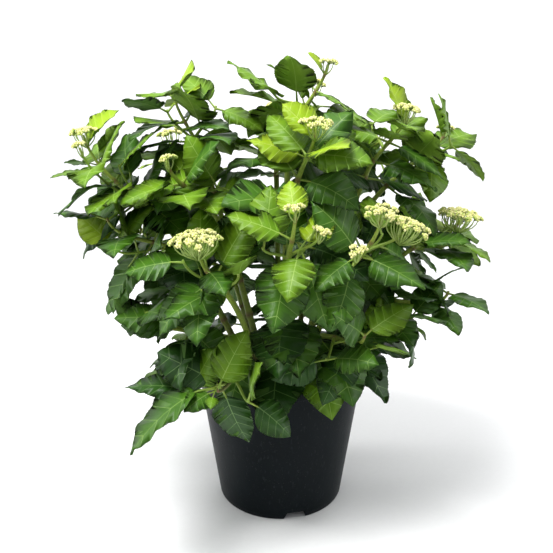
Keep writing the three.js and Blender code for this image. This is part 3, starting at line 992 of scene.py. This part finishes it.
def cane_surface(path, foot_radius, tip_radius, joints, seed):
    """A tapering tube: radius = taper * (1 + ridges + joint swelling)."""
    roll = np.random.default_rng(seed)
    length = np.linalg.norm(np.diff(path, axis=0), axis=1).sum()
    rings = max(int(length / RING_SPACING), 8)
    path = spread_evenly(path, rings)
    along = np.linspace(0, length, rings)
    turn = 2 * np.pi * np.arange(CANE_SIDES) / CANE_SIDES
    bare = np.arange(0.05, max(length - LEAFY_LENGTH, 0.06), JOINT_SPACING)
    bare_joints = np.stack([np.interp(bare, along, path[:, k]) for k in range(3)], -1)
    joints = np.concatenate([bare_joints, np.reshape(joints, (-1, 3))])
    gap = np.linalg.norm(path[:, None] - joints[None], axis=2).min(1)
    joint = np.exp(-(gap / JOINT_LENGTH)**2)
    woody = 1 / (1 + np.exp((path[:, 2] - mix_summit - WOODY_LENGTH) / WOODY_FADE))
    ridges = (0.05 * np.sin(4 * turn + roll.uniform(0, 6) + 2 * np.sin(along / 0.05)[:, None])
              + 0.035 * np.sin(7 * turn + roll.uniform(0, 6) - 3 * np.sin(along / 0.03)[:, None])
              + roll.normal(0, 0.022, (rings, CANE_SIDES)))
    relief = 1 + ridges * (0.15 + woody)[:, None] + JOINT_SWELLING * joint[:, None]
    radii = np.interp(along / length, [0, 0.75, 1], [foot_radius, tip_radius, CANE_TIP_RADIUS])
    points, faces = tubes(path[None], radii[None], CANE_SIDES, relief[None])
    marks = [np.r_[np.repeat(mark, CANE_SIDES), mark[[0, -1]]] for mark in (woody, joint)]
    return points, faces, marks


def cane_finish():
    """Grey-brown ridged wood below, smooth yellow-green above, purple-brown at the joints."""
    finish = Finish("cane_bark", Specular_IOR_Level=0.35)
    woody = finish.node("ShaderNodeAttribute", {"attribute_name": "woody"}, output="Fac")
    joint = finish.node("ShaderNodeAttribute", {"attribute_name": "joint"}, output="Fac")
    fibre = finish.noise(0.002, detail=3.0, stretch=(1.0, 1.0, 0.1))
    fleck = finish.noise(0.003).between(0.62, 0.70)
    bark = finish.mix(fibre, rgb(0.045, 0.032, 0.022), rgb(0.20, 0.155, 0.10))
    skin = finish.mix(fibre, rgb(0.17, 0.27, 0.025), rgb(0.32, 0.41, 0.06))
    skin = finish.mix(0.55 * fleck, skin, rgb(0.13, 0.07, 0.045))
    base = finish.mix(woody, skin, bark)
    finish.colour(finish.mix(0.8 * joint, base, rgb(0.16, 0.06, 0.045)))
    finish.roughness(0.45 + 0.4 * woody + 0.1 * (fibre - 0.5))
    finish.relief(fibre, 0.0006)
    return finish.material


heap, woody_marks, joint_marks = Heap(), [], []
for number, (name, path, foot_radius, tip_radius, joints) in enumerate(canes):
    points, faces, (woody, joint) = cane_surface(path, foot_radius, tip_radius, joints, number)
    heap.add(points, faces)
    woody_marks.append(woody)
    joint_marks.append(joint)
cane_piece = heap.piece("canes", [cane_finish()])
for name, marks in (("woody", woody_marks), ("joint", joint_marks)):
    mark = cane_piece.data.attributes.new(name, "FLOAT", "POINT")
    mark.data.foreach_set("value", np.concatenate(marks).astype(np.float32))
pieces.append((cane_piece, "cane"))

# %% [markdown]
# ## Flower heads in bud
#
# Each head is a low dome of tight round buds, pale cream-yellow, with a few greener ones at
# random. The buds round its edge are dealt greener, darker tones as painted shade. The buds sit in small
# tufts, so the dome is lumpy like a cauliflower.
# Below it pale green rays fork twice, from the stem to the tufts and from the tufts to
# the buds. Buds scattered at random would leave bald spots and clumps. A golden-angle
# spiral spaces both tufts and buds evenly, and a little disorder is added afterwards.

# %% Buds and rays
TUFT_RADIUS = 0.0062
TUFT_HEIGHT = 0.55           # of a tuft's radius
BUDS_IN_TUFT = 11
BUD_SIDES, MAIN_RAY_SIDES, RAY_SIDES = 5, 5, 3
GOLDEN_ANGLE = np.pi * (3 - 5**0.5)


def spiral(count, radius):
    """Evenly spread places in a disc: distance radius * sqrt(i / count), a golden angle apart."""
    i = np.arange(count) + 0.5
    return radius * np.sqrt(i / count) * np.exp(1j * GOLDEN_ANGLE * i)


def flower_head(middle, way, radius, seed):
    """Rays and buds of one head: tufts stand on a low dome, and each tuft is a dome of buds.

    Returns the paths of the rays to the tufts, of the rays to the buds, and of the buds
    themselves, with the buds' radii and tones. The tones turn greener towards the edge as painted shade.
    """
    roll = np.random.default_rng(seed)
    u = across(way, np.array([1.0, 0.1, 0.0]))
    v = np.cross(way, u)
    tufts = max(3, int(0.8 * (radius / TUFT_RADIUS)**2))
    flat = spiral(tufts, radius - 0.5 * TUFT_RADIUS) * np.exp(1j * roll.uniform(0, 6))
    flat += (roll.normal(0, 1, tufts) + 1j * roll.normal(0, 1, tufts)) * 0.12 * TUFT_RADIUS
    part = np.abs(flat) / radius
    across_head = np.real(flat)[:, None] * u + np.imag(flat)[:, None] * v
    dome = radius * (0.30 - 0.26 * part**2) + roll.normal(0, 0.0011, tufts)
    tops = middle + across_head + dome[:, None] * way
    ways = unit(way + 0.9 * across_head / radius)

    small = spiral(BUDS_IN_TUFT, TUFT_RADIUS * 0.78)
    turn = np.exp(1j * roll.uniform(0, 6, tufts))
    local = small * turn[:, None] * roll.uniform(0.9, 1.1, (tufts, BUDS_IN_TUFT))
    side = across(ways, np.broadcast_to(u, ways.shape))
    other = np.cross(ways, side)
    over = (np.real(local)[..., None] * side[:, None] + np.imag(local)[..., None] * other[:, None])
    rise = TUFT_RADIUS * TUFT_HEIGHT * (1 - (np.abs(local) / TUFT_RADIUS)**2)
    rise = rise + roll.normal(0, 0.0003, local.shape)
    buds = (tops[:, None] + over + rise[..., None] * ways[:, None]).reshape(-1, 3)
    bud_ways = unit(ways[:, None] + 0.9 * over / TUFT_RADIUS).reshape(-1, 3)
    size = roll.uniform(0.0015, 0.0021, len(buds))
    along = np.array([-1.0, -0.5, 0.5, 1.0])[:, None]
    bud_paths = buds[:, None] + bud_ways[:, None] * along * size[:, None, None]
    bud_radii = size[:, None] * np.array([0.5, 0.98, 0.9, 0.4])
    # painted shade: buds near the edge of the dome get a greener tone, and a random share of all buds a step
    # greener still
    tone = (np.repeat(part, BUDS_IN_TUFT) + roll.normal(0, 0.3, len(buds)) > 0.95).astype(int)
    tone = np.minimum(tone + (roll.random(len(buds)) > 0.82), 2)

    hub = middle - way * (0.010 + 0.40 * radius)
    knots = tops - ways * TUFT_RADIUS * TUFT_HEIGHT
    reach = np.linspace(0, 1, 5)[:, None]
    main_rays = hub + (knots[:, None] - hub) * reach
    main_rays = main_rays + across_head[:, None] * 0.25 * np.sin(np.pi * reach)
    foot = np.repeat(knots, BUDS_IN_TUFT, 0)
    rays = foot[:, None] + (buds - foot)[:, None] * np.linspace(0, 1, 2)[:, None]
    return main_rays, rays, bud_paths, bud_radii, tone


def bud_finish(name, base, flush):
    """Waxy bud: a soft two-tone mottle at the size of one bud."""
    finish = Finish(name, Specular_IOR_Level=0.35)
    mottle = finish.noise(0.002).between(0.35, 0.65)
    finish.colour(finish.mix(mottle, base, flush))
    finish.roughness(0.5 + 0.1 * mottle)
    finish.relief(mottle, 0.0003)
    return finish.material


bud_finishes = [bud_finish("bud_cream", rgb(0.66, 0.64, 0.20), rgb(0.80, 0.78, 0.42)),
                bud_finish("bud_yellow_green_and_painted_shade", rgb(0.42, 0.50, 0.10), rgb(0.58, 0.63, 0.20)),
                bud_finish("bud_green_and_painted_shade", rgb(0.24, 0.36, 0.06), rgb(0.36, 0.47, 0.11))]
bud_heap, ray_heap = Heap(), Heap()
for number, (end, way, width) in enumerate(heads):
    if width:
        main_rays, rays, bud_paths, bud_radii, tone = flower_head(end, way, width / 2, number)
        ray_heap.add(*tubes(main_rays, np.linspace(0.0011, 0.0007, 5), MAIN_RAY_SIDES))
        ray_heap.add(*tubes(rays, np.linspace(0.0005, 0.0004, 2), RAY_SIDES))
        for index in np.unique(tone):
            chosen = tone == index
            bud_heap.add(*tubes(bud_paths[chosen], bud_radii[chosen], BUD_SIDES), index)
pieces.append((bud_heap.piece("flower_buds", bud_finishes), "bud"))
pieces.append((ray_heap.piece("flower_rays", [stalk_finish("ray_green", rgb(0.26, 0.38, 0.08),
                                                           rgb(0.40, 0.48, 0.15))]), "cane"))

# %% [markdown]
# ## The nursery pot
#
# The pot is thin black plastic, pressed in a mould. Its wall leans out a little, its
# rim is rolled over into a lip, and three notches in the foot ring let water out. It
# is turned as one closed profile about the Z axis. A Boolean could cut the notches, but
# it leaves thin slivers. Instead the points of the foot ring are lifted to the height
# of the notch above them, and extra columns of points stand at the notch's corners, so
# its edges stay crisp.

# %% Turned shapes
def turned(profile, angles):
    """Revolves (radius, height) pairs about Z: (radius * cos a, radius * sin a, height).

    The first and the last pair lie on the axis.
    """
    profile = np.asarray(profile, float)
    body, columns = profile[1:-1], len(angles)
    ring = body[:, None, :1] * np.stack([np.cos(angles), np.sin(angles)], -1)
    rings = np.concatenate([ring, np.repeat(body[:, None, 1:], columns, 1)], -1)
    poles = np.array([[0, 0, profile[0, 1]], [0, 0, profile[-1, 1]]])
    points = np.concatenate([rings.reshape(-1, 3), poles])
    return points, tube_faces(len(body), columns)


def arc(centre, radius, start, stop, steps):
    """A round stretch of a profile by its angles in degrees: centre + radius * (cos a, sin a)."""
    a = np.radians(np.linspace(start, stop, steps))
    return np.stack([centre[0] + radius * np.cos(a), centre[1] + radius * np.sin(a)], -1).tolist()


print("a quarter arc of radius 1 ends at", np.round(arc((0, 0), 1, 0, 90, 5)[-1], 3))

# %% Pot
POT_HEIGHT = pot_high[2]
LIP_RADIUS = pot_high[0]
FOOT_RADIUS = 0.1055
BODY_TOP_RADIUS = 0.1385
LIP_HEIGHT = 0.012
WALL = 0.0026
DISC_RADIUS = 0.072
CHANNEL_HEIGHT = 0.014
CHANNEL_SLOPE = 0.004
FOOT_RING = 0.005
NOTCH_ANGLES = np.radians([-77, 43, 163])
NOTCH_TOP_HALF = 0.0135
NOTCH_FOOT_HALF = 0.0185
NOTCH_HEIGHT = 0.0125
POT_COLUMNS = 240


def body_radius(height):
    """The wall's outer radius: a straight taper from the foot to the lip."""
    return FOOT_RADIUS + (BODY_TOP_RADIUS - FOOT_RADIUS) * height / (POT_HEIGHT - LIP_HEIGHT)


def pot_surface():
    """The pot's closed profile, turned, with its foot ring lifted over the notches."""
    lip_foot, floor = POT_HEIGHT - LIP_HEIGHT, CHANNEL_HEIGHT + WALL
    inner = body_radius(lip_foot) - WALL
    wall = [[body_radius(z), z] for z in np.linspace(0.004, lip_foot - 0.004, 36)]
    profile = [[0, 0], [DISC_RADIUS, 0], [DISC_RADIUS + CHANNEL_SLOPE, CHANNEL_HEIGHT],
               [FOOT_RADIUS - FOOT_RING - 0.001, CHANNEL_HEIGHT], [FOOT_RADIUS - FOOT_RING, 0]]
    profile += arc((FOOT_RADIUS - 0.003, 0.003), 0.003, -90, 0, 6) + wall
    profile += [[body_radius(lip_foot - 0.002), lip_foot - 0.002]]
    profile += arc((LIP_RADIUS - 0.0020, lip_foot + 0.0012), 0.0018, -80, 0, 6)
    profile += arc((LIP_RADIUS - 0.0022, POT_HEIGHT - 0.0022), 0.0022, 0, 90, 7)
    profile += arc((inner + 0.0014, POT_HEIGHT - 0.0014), 0.0014, 90, 180, 6)
    profile += [[inner, lip_foot], [body_radius(floor) - WALL, floor],
                [DISC_RADIUS - WALL + CHANNEL_SLOPE, floor], [DISC_RADIUS - WALL, WALL], [0, WALL]]
    corners = np.array([NOTCH_TOP_HALF, NOTCH_FOOT_HALF]) / FOOT_RADIUS
    extra = (NOTCH_ANGLES[:, None] + np.r_[corners, -corners]).ravel()
    angles = np.unique(np.r_[np.linspace(0, 2 * np.pi, POT_COLUMNS, endpoint=False), extra % (2 * np.pi)])
    points, faces = turned(profile, angles)
    radius = np.hypot(points[:, 0], points[:, 1])
    azimuth = np.arctan2(points[:, 1], points[:, 0])
    aside = radius[:, None] * np.abs(np.sin((azimuth[:, None] - NOTCH_ANGLES)))
    ahead = np.cos(azimuth[:, None] - NOTCH_ANGLES) > 0
    rise = np.clip((NOTCH_FOOT_HALF - aside) / (NOTCH_FOOT_HALF - NOTCH_TOP_HALF), 0, 1) * ahead
    lift = NOTCH_HEIGHT * rise.max(1) * (radius > FOOT_RADIUS - FOOT_RING - 0.0005)
    points[:, 2] = np.maximum(points[:, 2], lift)
    return points, faces


def pot_finish():
    """Black plastic: satin, a little blue, with scuffs, dust and fine pressed ripples."""
    finish = Finish("pot_plastic", Specular_IOR_Level=0.07)
    cloud = finish.noise(0.06, detail=4.0)
    scuff = finish.noise(0.004, detail=3.0, stretch=(1.0, 1.0, 0.35)).between(0.60, 0.74)
    dust = finish.noise(0.0022, detail=1.0).between(0.70, 0.76)
    ripple = finish.noise(0.03, stretch=(1.0, 1.0, 0.3))
    black = finish.mix(cloud, rgb(0.0018, 0.0036, 0.0046), rgb(0.0038, 0.0070, 0.0088))
    worn = finish.mix(0.3 * scuff, black, rgb(0.030, 0.036, 0.039))
    finish.colour(finish.mix(0.3 * dust, worn, rgb(0.08, 0.08, 0.07)))
    finish.roughness(0.34 + 0.16 * cloud + 0.15 * scuff)
    finish.relief(0.8 * ripple + 0.2 * scuff, 0.0008)
    return finish.material


points, faces = pot_surface()
heap = Heap()
heap.add(points[None], faces)
pot = heap.piece("nursery_pot", [pot_finish()])
pot.data.set_sharp_from_angle(angle=np.radians(38))
pieces.append((pot, "pot_plastic"))

# %% [markdown]
# ## Potting mix
#
# The mix is dark, damp peat, a little higher in the middle. A Displace modifier could
# roughen it, but then nothing else would know its height. So its top is a turned sheet
# raised by a sum of waves at three sizes, each wave in its own random direction, and
# the same sum gives the height on which the chips and the dry leaves lie.

# %% Roughness by summed waves
def rough(points, size, height, seed, waves=24):
    """Uneven height over a plane: height * sum of cosines / root of their number.

    Each wave is about `size` long, and runs its own random way.
    """
    roll = np.random.default_rng(seed)
    turn = roll.uniform(0, 2 * np.pi, waves)
    lengths = size * roll.uniform(0.7, 1.5, (waves, 1))
    ways = np.stack([np.cos(turn), np.sin(turn)], -1) * 2 * np.pi / lengths
    return height * np.cos(points[:, :2] @ ways.T + roll.uniform(0, 6.3, waves)).sum(1) / waves**0.5


print("roughness over a millimetre:", rough(np.eye(2) * 0.001, 0.01, 0.001, 0).round(5), "m")

# %% Mix
MIX_LEVEL = 0.212
MIX_CROWN = 0.006
MIX_THICKNESS = 0.03
MIX_EDGE = body_radius(MIX_LEVEL) - WALL - 0.0003


def mix_top(points):
    """The height of the mix over any place: a low crown with lumps, clods and grit."""
    out = np.hypot(points[:, 0], points[:, 1]) / MIX_EDGE
    lumps = (rough(points, 0.05, 0.0016, 1) + rough(points, 0.014, 0.0011, 2)
             + rough(points, 0.005, 0.0006, 3))
    return MIX_LEVEL + MIX_CROWN * (1 - out**2) + lumps


radii = MIX_EDGE * np.linspace(1, 0, 64)[:-1]
under = MIX_LEVEL - MIX_THICKNESS
profile = [[0, under], [MIX_EDGE - 0.004, under]]
profile += [[radius, MIX_LEVEL] for radius in radii] + [[0, MIX_LEVEL]]
points, faces = turned(profile, np.linspace(0, 2 * np.pi, 180, endpoint=False))
top = points[:, 2] > MIX_LEVEL - 0.001
points[top, 2] = mix_top(points[top])


def mix_finish(name, dark, pale, roughness):
    """Damp crumbs: dark and pale grains at two sizes, deeply pitted."""
    finish = Finish(name)
    crumb = finish.noise(0.004, detail=4.0)
    grain = finish.noise(0.0012, detail=2.0).between(0.35, 0.7)
    finish.colour(finish.mix(0.6 * crumb.between(0.35, 0.7) + 0.3 * grain, dark, pale))
    finish.roughness(roughness + 0.1 * grain)
    finish.relief(crumb + 0.5 * grain, 0.0015)
    return finish.material


heap = Heap()
heap.add(points[None], faces)
pieces.append((heap.piece("mix_surface", [mix_finish("peat", rgb(0.008, 0.006, 0.005),
                                                     rgb(0.040, 0.028, 0.018), 0.8)]), "mix"))

# %% [markdown]
# ## Litter on the mix
#
# Chips of bark and a few dry leaves lie on the mix. A pattern could suggest them, but
# near the rim they catch the light one by one. Each chip is a box with shifted corners
# and flat faces, like split bark. The dry leaves are the same leaf, small and curled.

# %% Bark chips
CHIPS = 1100
BOX_CORNERS = np.array([[x, y, z] for x in (-1, 1) for y in (-1, 1) for z in (-1, 1)], float)
BOX_FACES = [[0, 1, 3, 2], [4, 6, 7, 5], [0, 4, 5, 1], [2, 3, 7, 6], [0, 2, 6, 4], [1, 5, 7, 3]]
roll = np.random.default_rng(5)
out = (MIX_EDGE - 0.007) * np.sqrt(roll.random((CHIPS, 1)))
spots = out * from_angles(roll.uniform(0, 360, CHIPS), 0)
spots[:, 2] = mix_top(spots) + 0.0004
half = np.stack([roll.gamma(3, 0.0011, CHIPS), roll.uniform(0.0008, 0.0024, CHIPS),
                 roll.uniform(0.0004, 0.0011, CHIPS)], -1)
ways = from_angles(roll.uniform(0, 360, CHIPS), roll.normal(0, 16, CHIPS))
aside = across(ways, roll.normal(0, 0.35, (CHIPS, 3)) + np.cross(ways, [0, 0, 1.0]))
corners = (BOX_CORNERS + roll.normal(0, 0.22, (CHIPS, 8, 3))) * half[:, None]
points = (spots[:, None] + corners[..., :1] * ways[:, None] + corners[..., 1:2] * aside[:, None]
          + corners[..., 2:] * np.cross(ways, aside)[:, None])
heap = Heap()
tone = roll.integers(0, 2, CHIPS)
for index in range(2):
    heap.add(points[tone == index], BOX_FACES, index)
chips = [mix_finish("bark_chip_dark", rgb(0.018, 0.011, 0.007), rgb(0.06, 0.035, 0.02), 0.75),
         mix_finish("bark_chip_pale", rgb(0.06, 0.036, 0.02), rgb(0.17, 0.11, 0.06), 0.7)]
pieces.append((heap.piece("bark_chips", chips, smooth=False), "mix"))

# %% Dry leaves on the mix
DRY_LEAVES = 9
azimuth = np.r_[-62, roll.uniform(0, 360, DRY_LEAVES - 1)]
spots = from_angles(azimuth, 0) * np.r_[0.104, roll.uniform(0.05, 0.10, DRY_LEAVES - 1)][:, None]
spots[:, 2] = mix_top(spots) + 0.004
along = from_angles(roll.uniform(0, 360, DRY_LEAVES), roll.uniform(-4, 14, DRY_LEAVES))
up = across(along, roll.normal(0, 0.2, (DRY_LEAVES, 3)) + [0, 0, 1.0])
length = roll.uniform(0.028, 0.05, DRY_LEAVES)
dry = dict(base=spots - along * length[:, None] / 2, along=along, up=up, side=np.cross(up, along),
           length=length, width=BLADE_HALF_WIDTH * length, bend=roll.uniform(0.4, 1.2, DRY_LEAVES),
           fold=roll.uniform(0.1, 0.5, DRY_LEAVES), cup=roll.uniform(0.2, 0.8, DRY_LEAVES),
           wave=roll.uniform(0.1, 0.2, DRY_LEAVES), waves=roll.uniform(1, 2, DRY_LEAVES),
           phase=roll.random(DRY_LEAVES), twist=roll.normal(0, 0.5, DRY_LEAVES),
           sweep=roll.uniform(-0.1, 0.1, DRY_LEAVES))
dry_blade = blade_finish("dry_leaf", rgb(0.10, 0.055, 0.025), rgb(0.22, 0.13, 0.06), 0.75)
dry_vein = stalk_finish("dry_vein", rgb(0.24, 0.15, 0.08), rgb(0.30, 0.20, 0.11))
heap = Heap()
heap.add(leaf_surface(dry, *LEAF[:4]), *LEAF[4:])
pieces.append((heap.piece("dry_leaves", [dry_blade, dry_vein, dry_blade]), "mix"))

# %% [markdown]
# ## The stool
#
# The stool is the knobbly foot of wood that all the canes spring from. It could be
# sculpted, but it is half buried and mostly in shade. A turned dome is enough, with its
# radius multiplied by waves that run around it, and dark cracks in its bark.

# %% Stool
STOOL_SHARE = 0.9            # of the frame's radius, which leaves room for the knobs
STOOL_LOW, STOOL_HIGH = (np.array(corner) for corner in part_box("root_stool"))
stool_radius = (STOOL_HIGH[0] - STOOL_LOW[0]) / 2 * STOOL_SHARE
stool_height = STOOL_HIGH[2] - STOOL_LOW[2]
profile = [[0, STOOL_LOW[2]]]
profile += [[stool_radius * np.cos(a)**0.7, STOOL_LOW[2] + stool_height * np.sin(a)]
            for a in np.linspace(0, 0.49 * np.pi, 26)]
profile += [[0, STOOL_HIGH[2]]]
points, faces = turned(profile, np.linspace(0, 2 * np.pi, 90, endpoint=False))
azimuth = np.arctan2(points[:, 1], points[:, 0])
knobs = 1 + 0.07 * np.sin(3 * azimuth + 0.7) + 0.04 * np.sin(7 * azimuth) + rough(points, 0.008, 0.03, 9)
points[:, :2] *= knobs[:, None]
heap = Heap()
heap.add(points[None], faces)


def wood_finish():
    """Grey-brown bark with fine upright fibres and dark cracks."""
    finish = Finish("stool_bark")
    fibre = finish.noise(0.0025, detail=4.0, stretch=(1.0, 1.0, 0.25))
    crack = finish.noise(0.006, stretch=(1.0, 1.0, 0.3)).between(0.3, 0.42)
    finish.colour(finish.mix(crack, rgb(0.018, 0.012, 0.009),
                             finish.mix(fibre, rgb(0.06, 0.042, 0.028), rgb(0.20, 0.155, 0.105))))
    finish.roughness(0.8 + 0.1 * fibre)
    finish.relief(fibre + crack, 0.0012)
    return finish.material


pieces.append((heap.piece("root_stool_bark", [wood_finish()]), "wood"))

# %% [markdown]
# ## Floor, backdrop and light
#
# A floor and a wall would meet in a line behind the plant. So floor and backdrop are
# one pale sheet that curves up, with no line in it. A wide soft light hangs above and
# in front, to the left. Two tall soft panels at the sides draw the pale bands down the
# edges of the black pot, and a pale sky fills the shadows. A last panel lights the
# paper behind the plant.

# %% Sweep of pale paper
def sweep_finish():
    """Matt pale paper with a faint grain."""
    finish = Finish("pale_paper")
    grain = finish.noise(0.01, detail=4.0)
    finish.colour(finish.mix(grain, rgb(0.86, 0.86, 0.86), rgb(0.90, 0.90, 0.90)))
    finish.roughness(0.85 + 0.1 * grain)
    finish.relief(grain, 0.0002)
    return finish.material


WIDE = 4.0
FLOOR_FRONT, FLOOR_BACK = -3.0, 2.0
BEND_RADIUS = 0.8
PAPER_TOP = 4.0
section = [[FLOOR_FRONT, 0.0], [FLOOR_BACK, 0.0]]
section += [[FLOOR_BACK + BEND_RADIUS * np.sin(a), BEND_RADIUS - BEND_RADIUS * np.cos(a)]
            for a in np.radians([15, 30, 45, 60, 75, 90])]
section += [[FLOOR_BACK + BEND_RADIUS, PAPER_TOP]]
y, z = np.array(section).T
left = np.stack([-WIDE + 0 * y, y, z], -1)
right = np.stack([WIDE + 0 * y, y, z], -1)
count = len(section)
heap = Heap()
heap.add(np.concatenate([left, right])[None],
         [[k, count + k, count + k + 1, k + 1] for k in range(count - 1)])
sweep = heap.piece("floor_and_backdrop", [sweep_finish()])
print("the paper runs from", FLOOR_FRONT, "to", FLOOR_BACK + BEND_RADIUS, "m, and up to", PAPER_TOP, "m")

# %% Lights
def soft_panel(name, place, target, wide, tall, watts):
    """A rectangular light that faces the target."""
    lamp = bpy.data.lights.new(name, "AREA")
    lamp.shape, lamp.size, lamp.size_y, lamp.energy = "RECTANGLE", wide, tall, watts
    panel = bpy.data.objects.new(name, lamp)
    scene.collection.objects.link(panel)
    panel.location = place
    away = Vector(place) - Vector(target)
    panel.rotation_euler = away.to_track_quat("Z", "Y").to_euler()


KEY_WATTS, SIDE_WATTS, BACKDROP_WATTS = 55, 10, 45
SKY_STRENGTH = 0.52
soft_panel("key", (-0.5, -0.7, 2.1), (0, 0, 0.45), 0.9, 0.9, KEY_WATTS)
soft_panel("left_panel", (-1.6, 0.1, 0.7), (0, 0, 0.2), 0.7, 1.6, SIDE_WATTS)
soft_panel("right_panel", (1.6, 0.1, 0.7), (0, 0, 0.2), 0.7, 1.6, SIDE_WATTS)
soft_panel("backdrop_light", (0, 0.9, 2.6), (0, 2.8, 0.9), 3.0, 0.6, BACKDROP_WATTS)
world = bpy.data.worlds.new("pale_sky")
scene.world = world
world.use_nodes = True
world.node_tree.nodes["Background"].inputs["Color"].default_value = rgb(0.95, 0.97, 1.0)
world.node_tree.nodes["Background"].inputs["Strength"].default_value = SKY_STRENGTH
scene.view_settings.view_transform = "Standard"

# %% [markdown]
# ## Onto the frame
#
# Each piece rides on the frame's one body, and the plain solids that it stands for are
# hidden, so those are no longer drawn. Leaves, shoots and flower heads grow out of every
# mass at once, so each of those pieces stands for all the masses together.

# %% Ride on the frame, stand for its nodes, and print the frame's box
mass_nodes = ["leaves_" + name for name in MASS_NAMES]
STANDS_FOR = {"nursery_pot": ["pot"], "mix_surface": ["potting_mix"], "bark_chips": ["potting_mix"],
              "dry_leaves": ["potting_mix"], "root_stool_bark": ["root_stool"],
              "canes": sorted(LIMB_NODES.values())}
for piece, slot in pieces:
    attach(piece, "root")
    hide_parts(*STANDS_FOR.get(piece.name, mass_nodes))

print("frame box", cad_box)
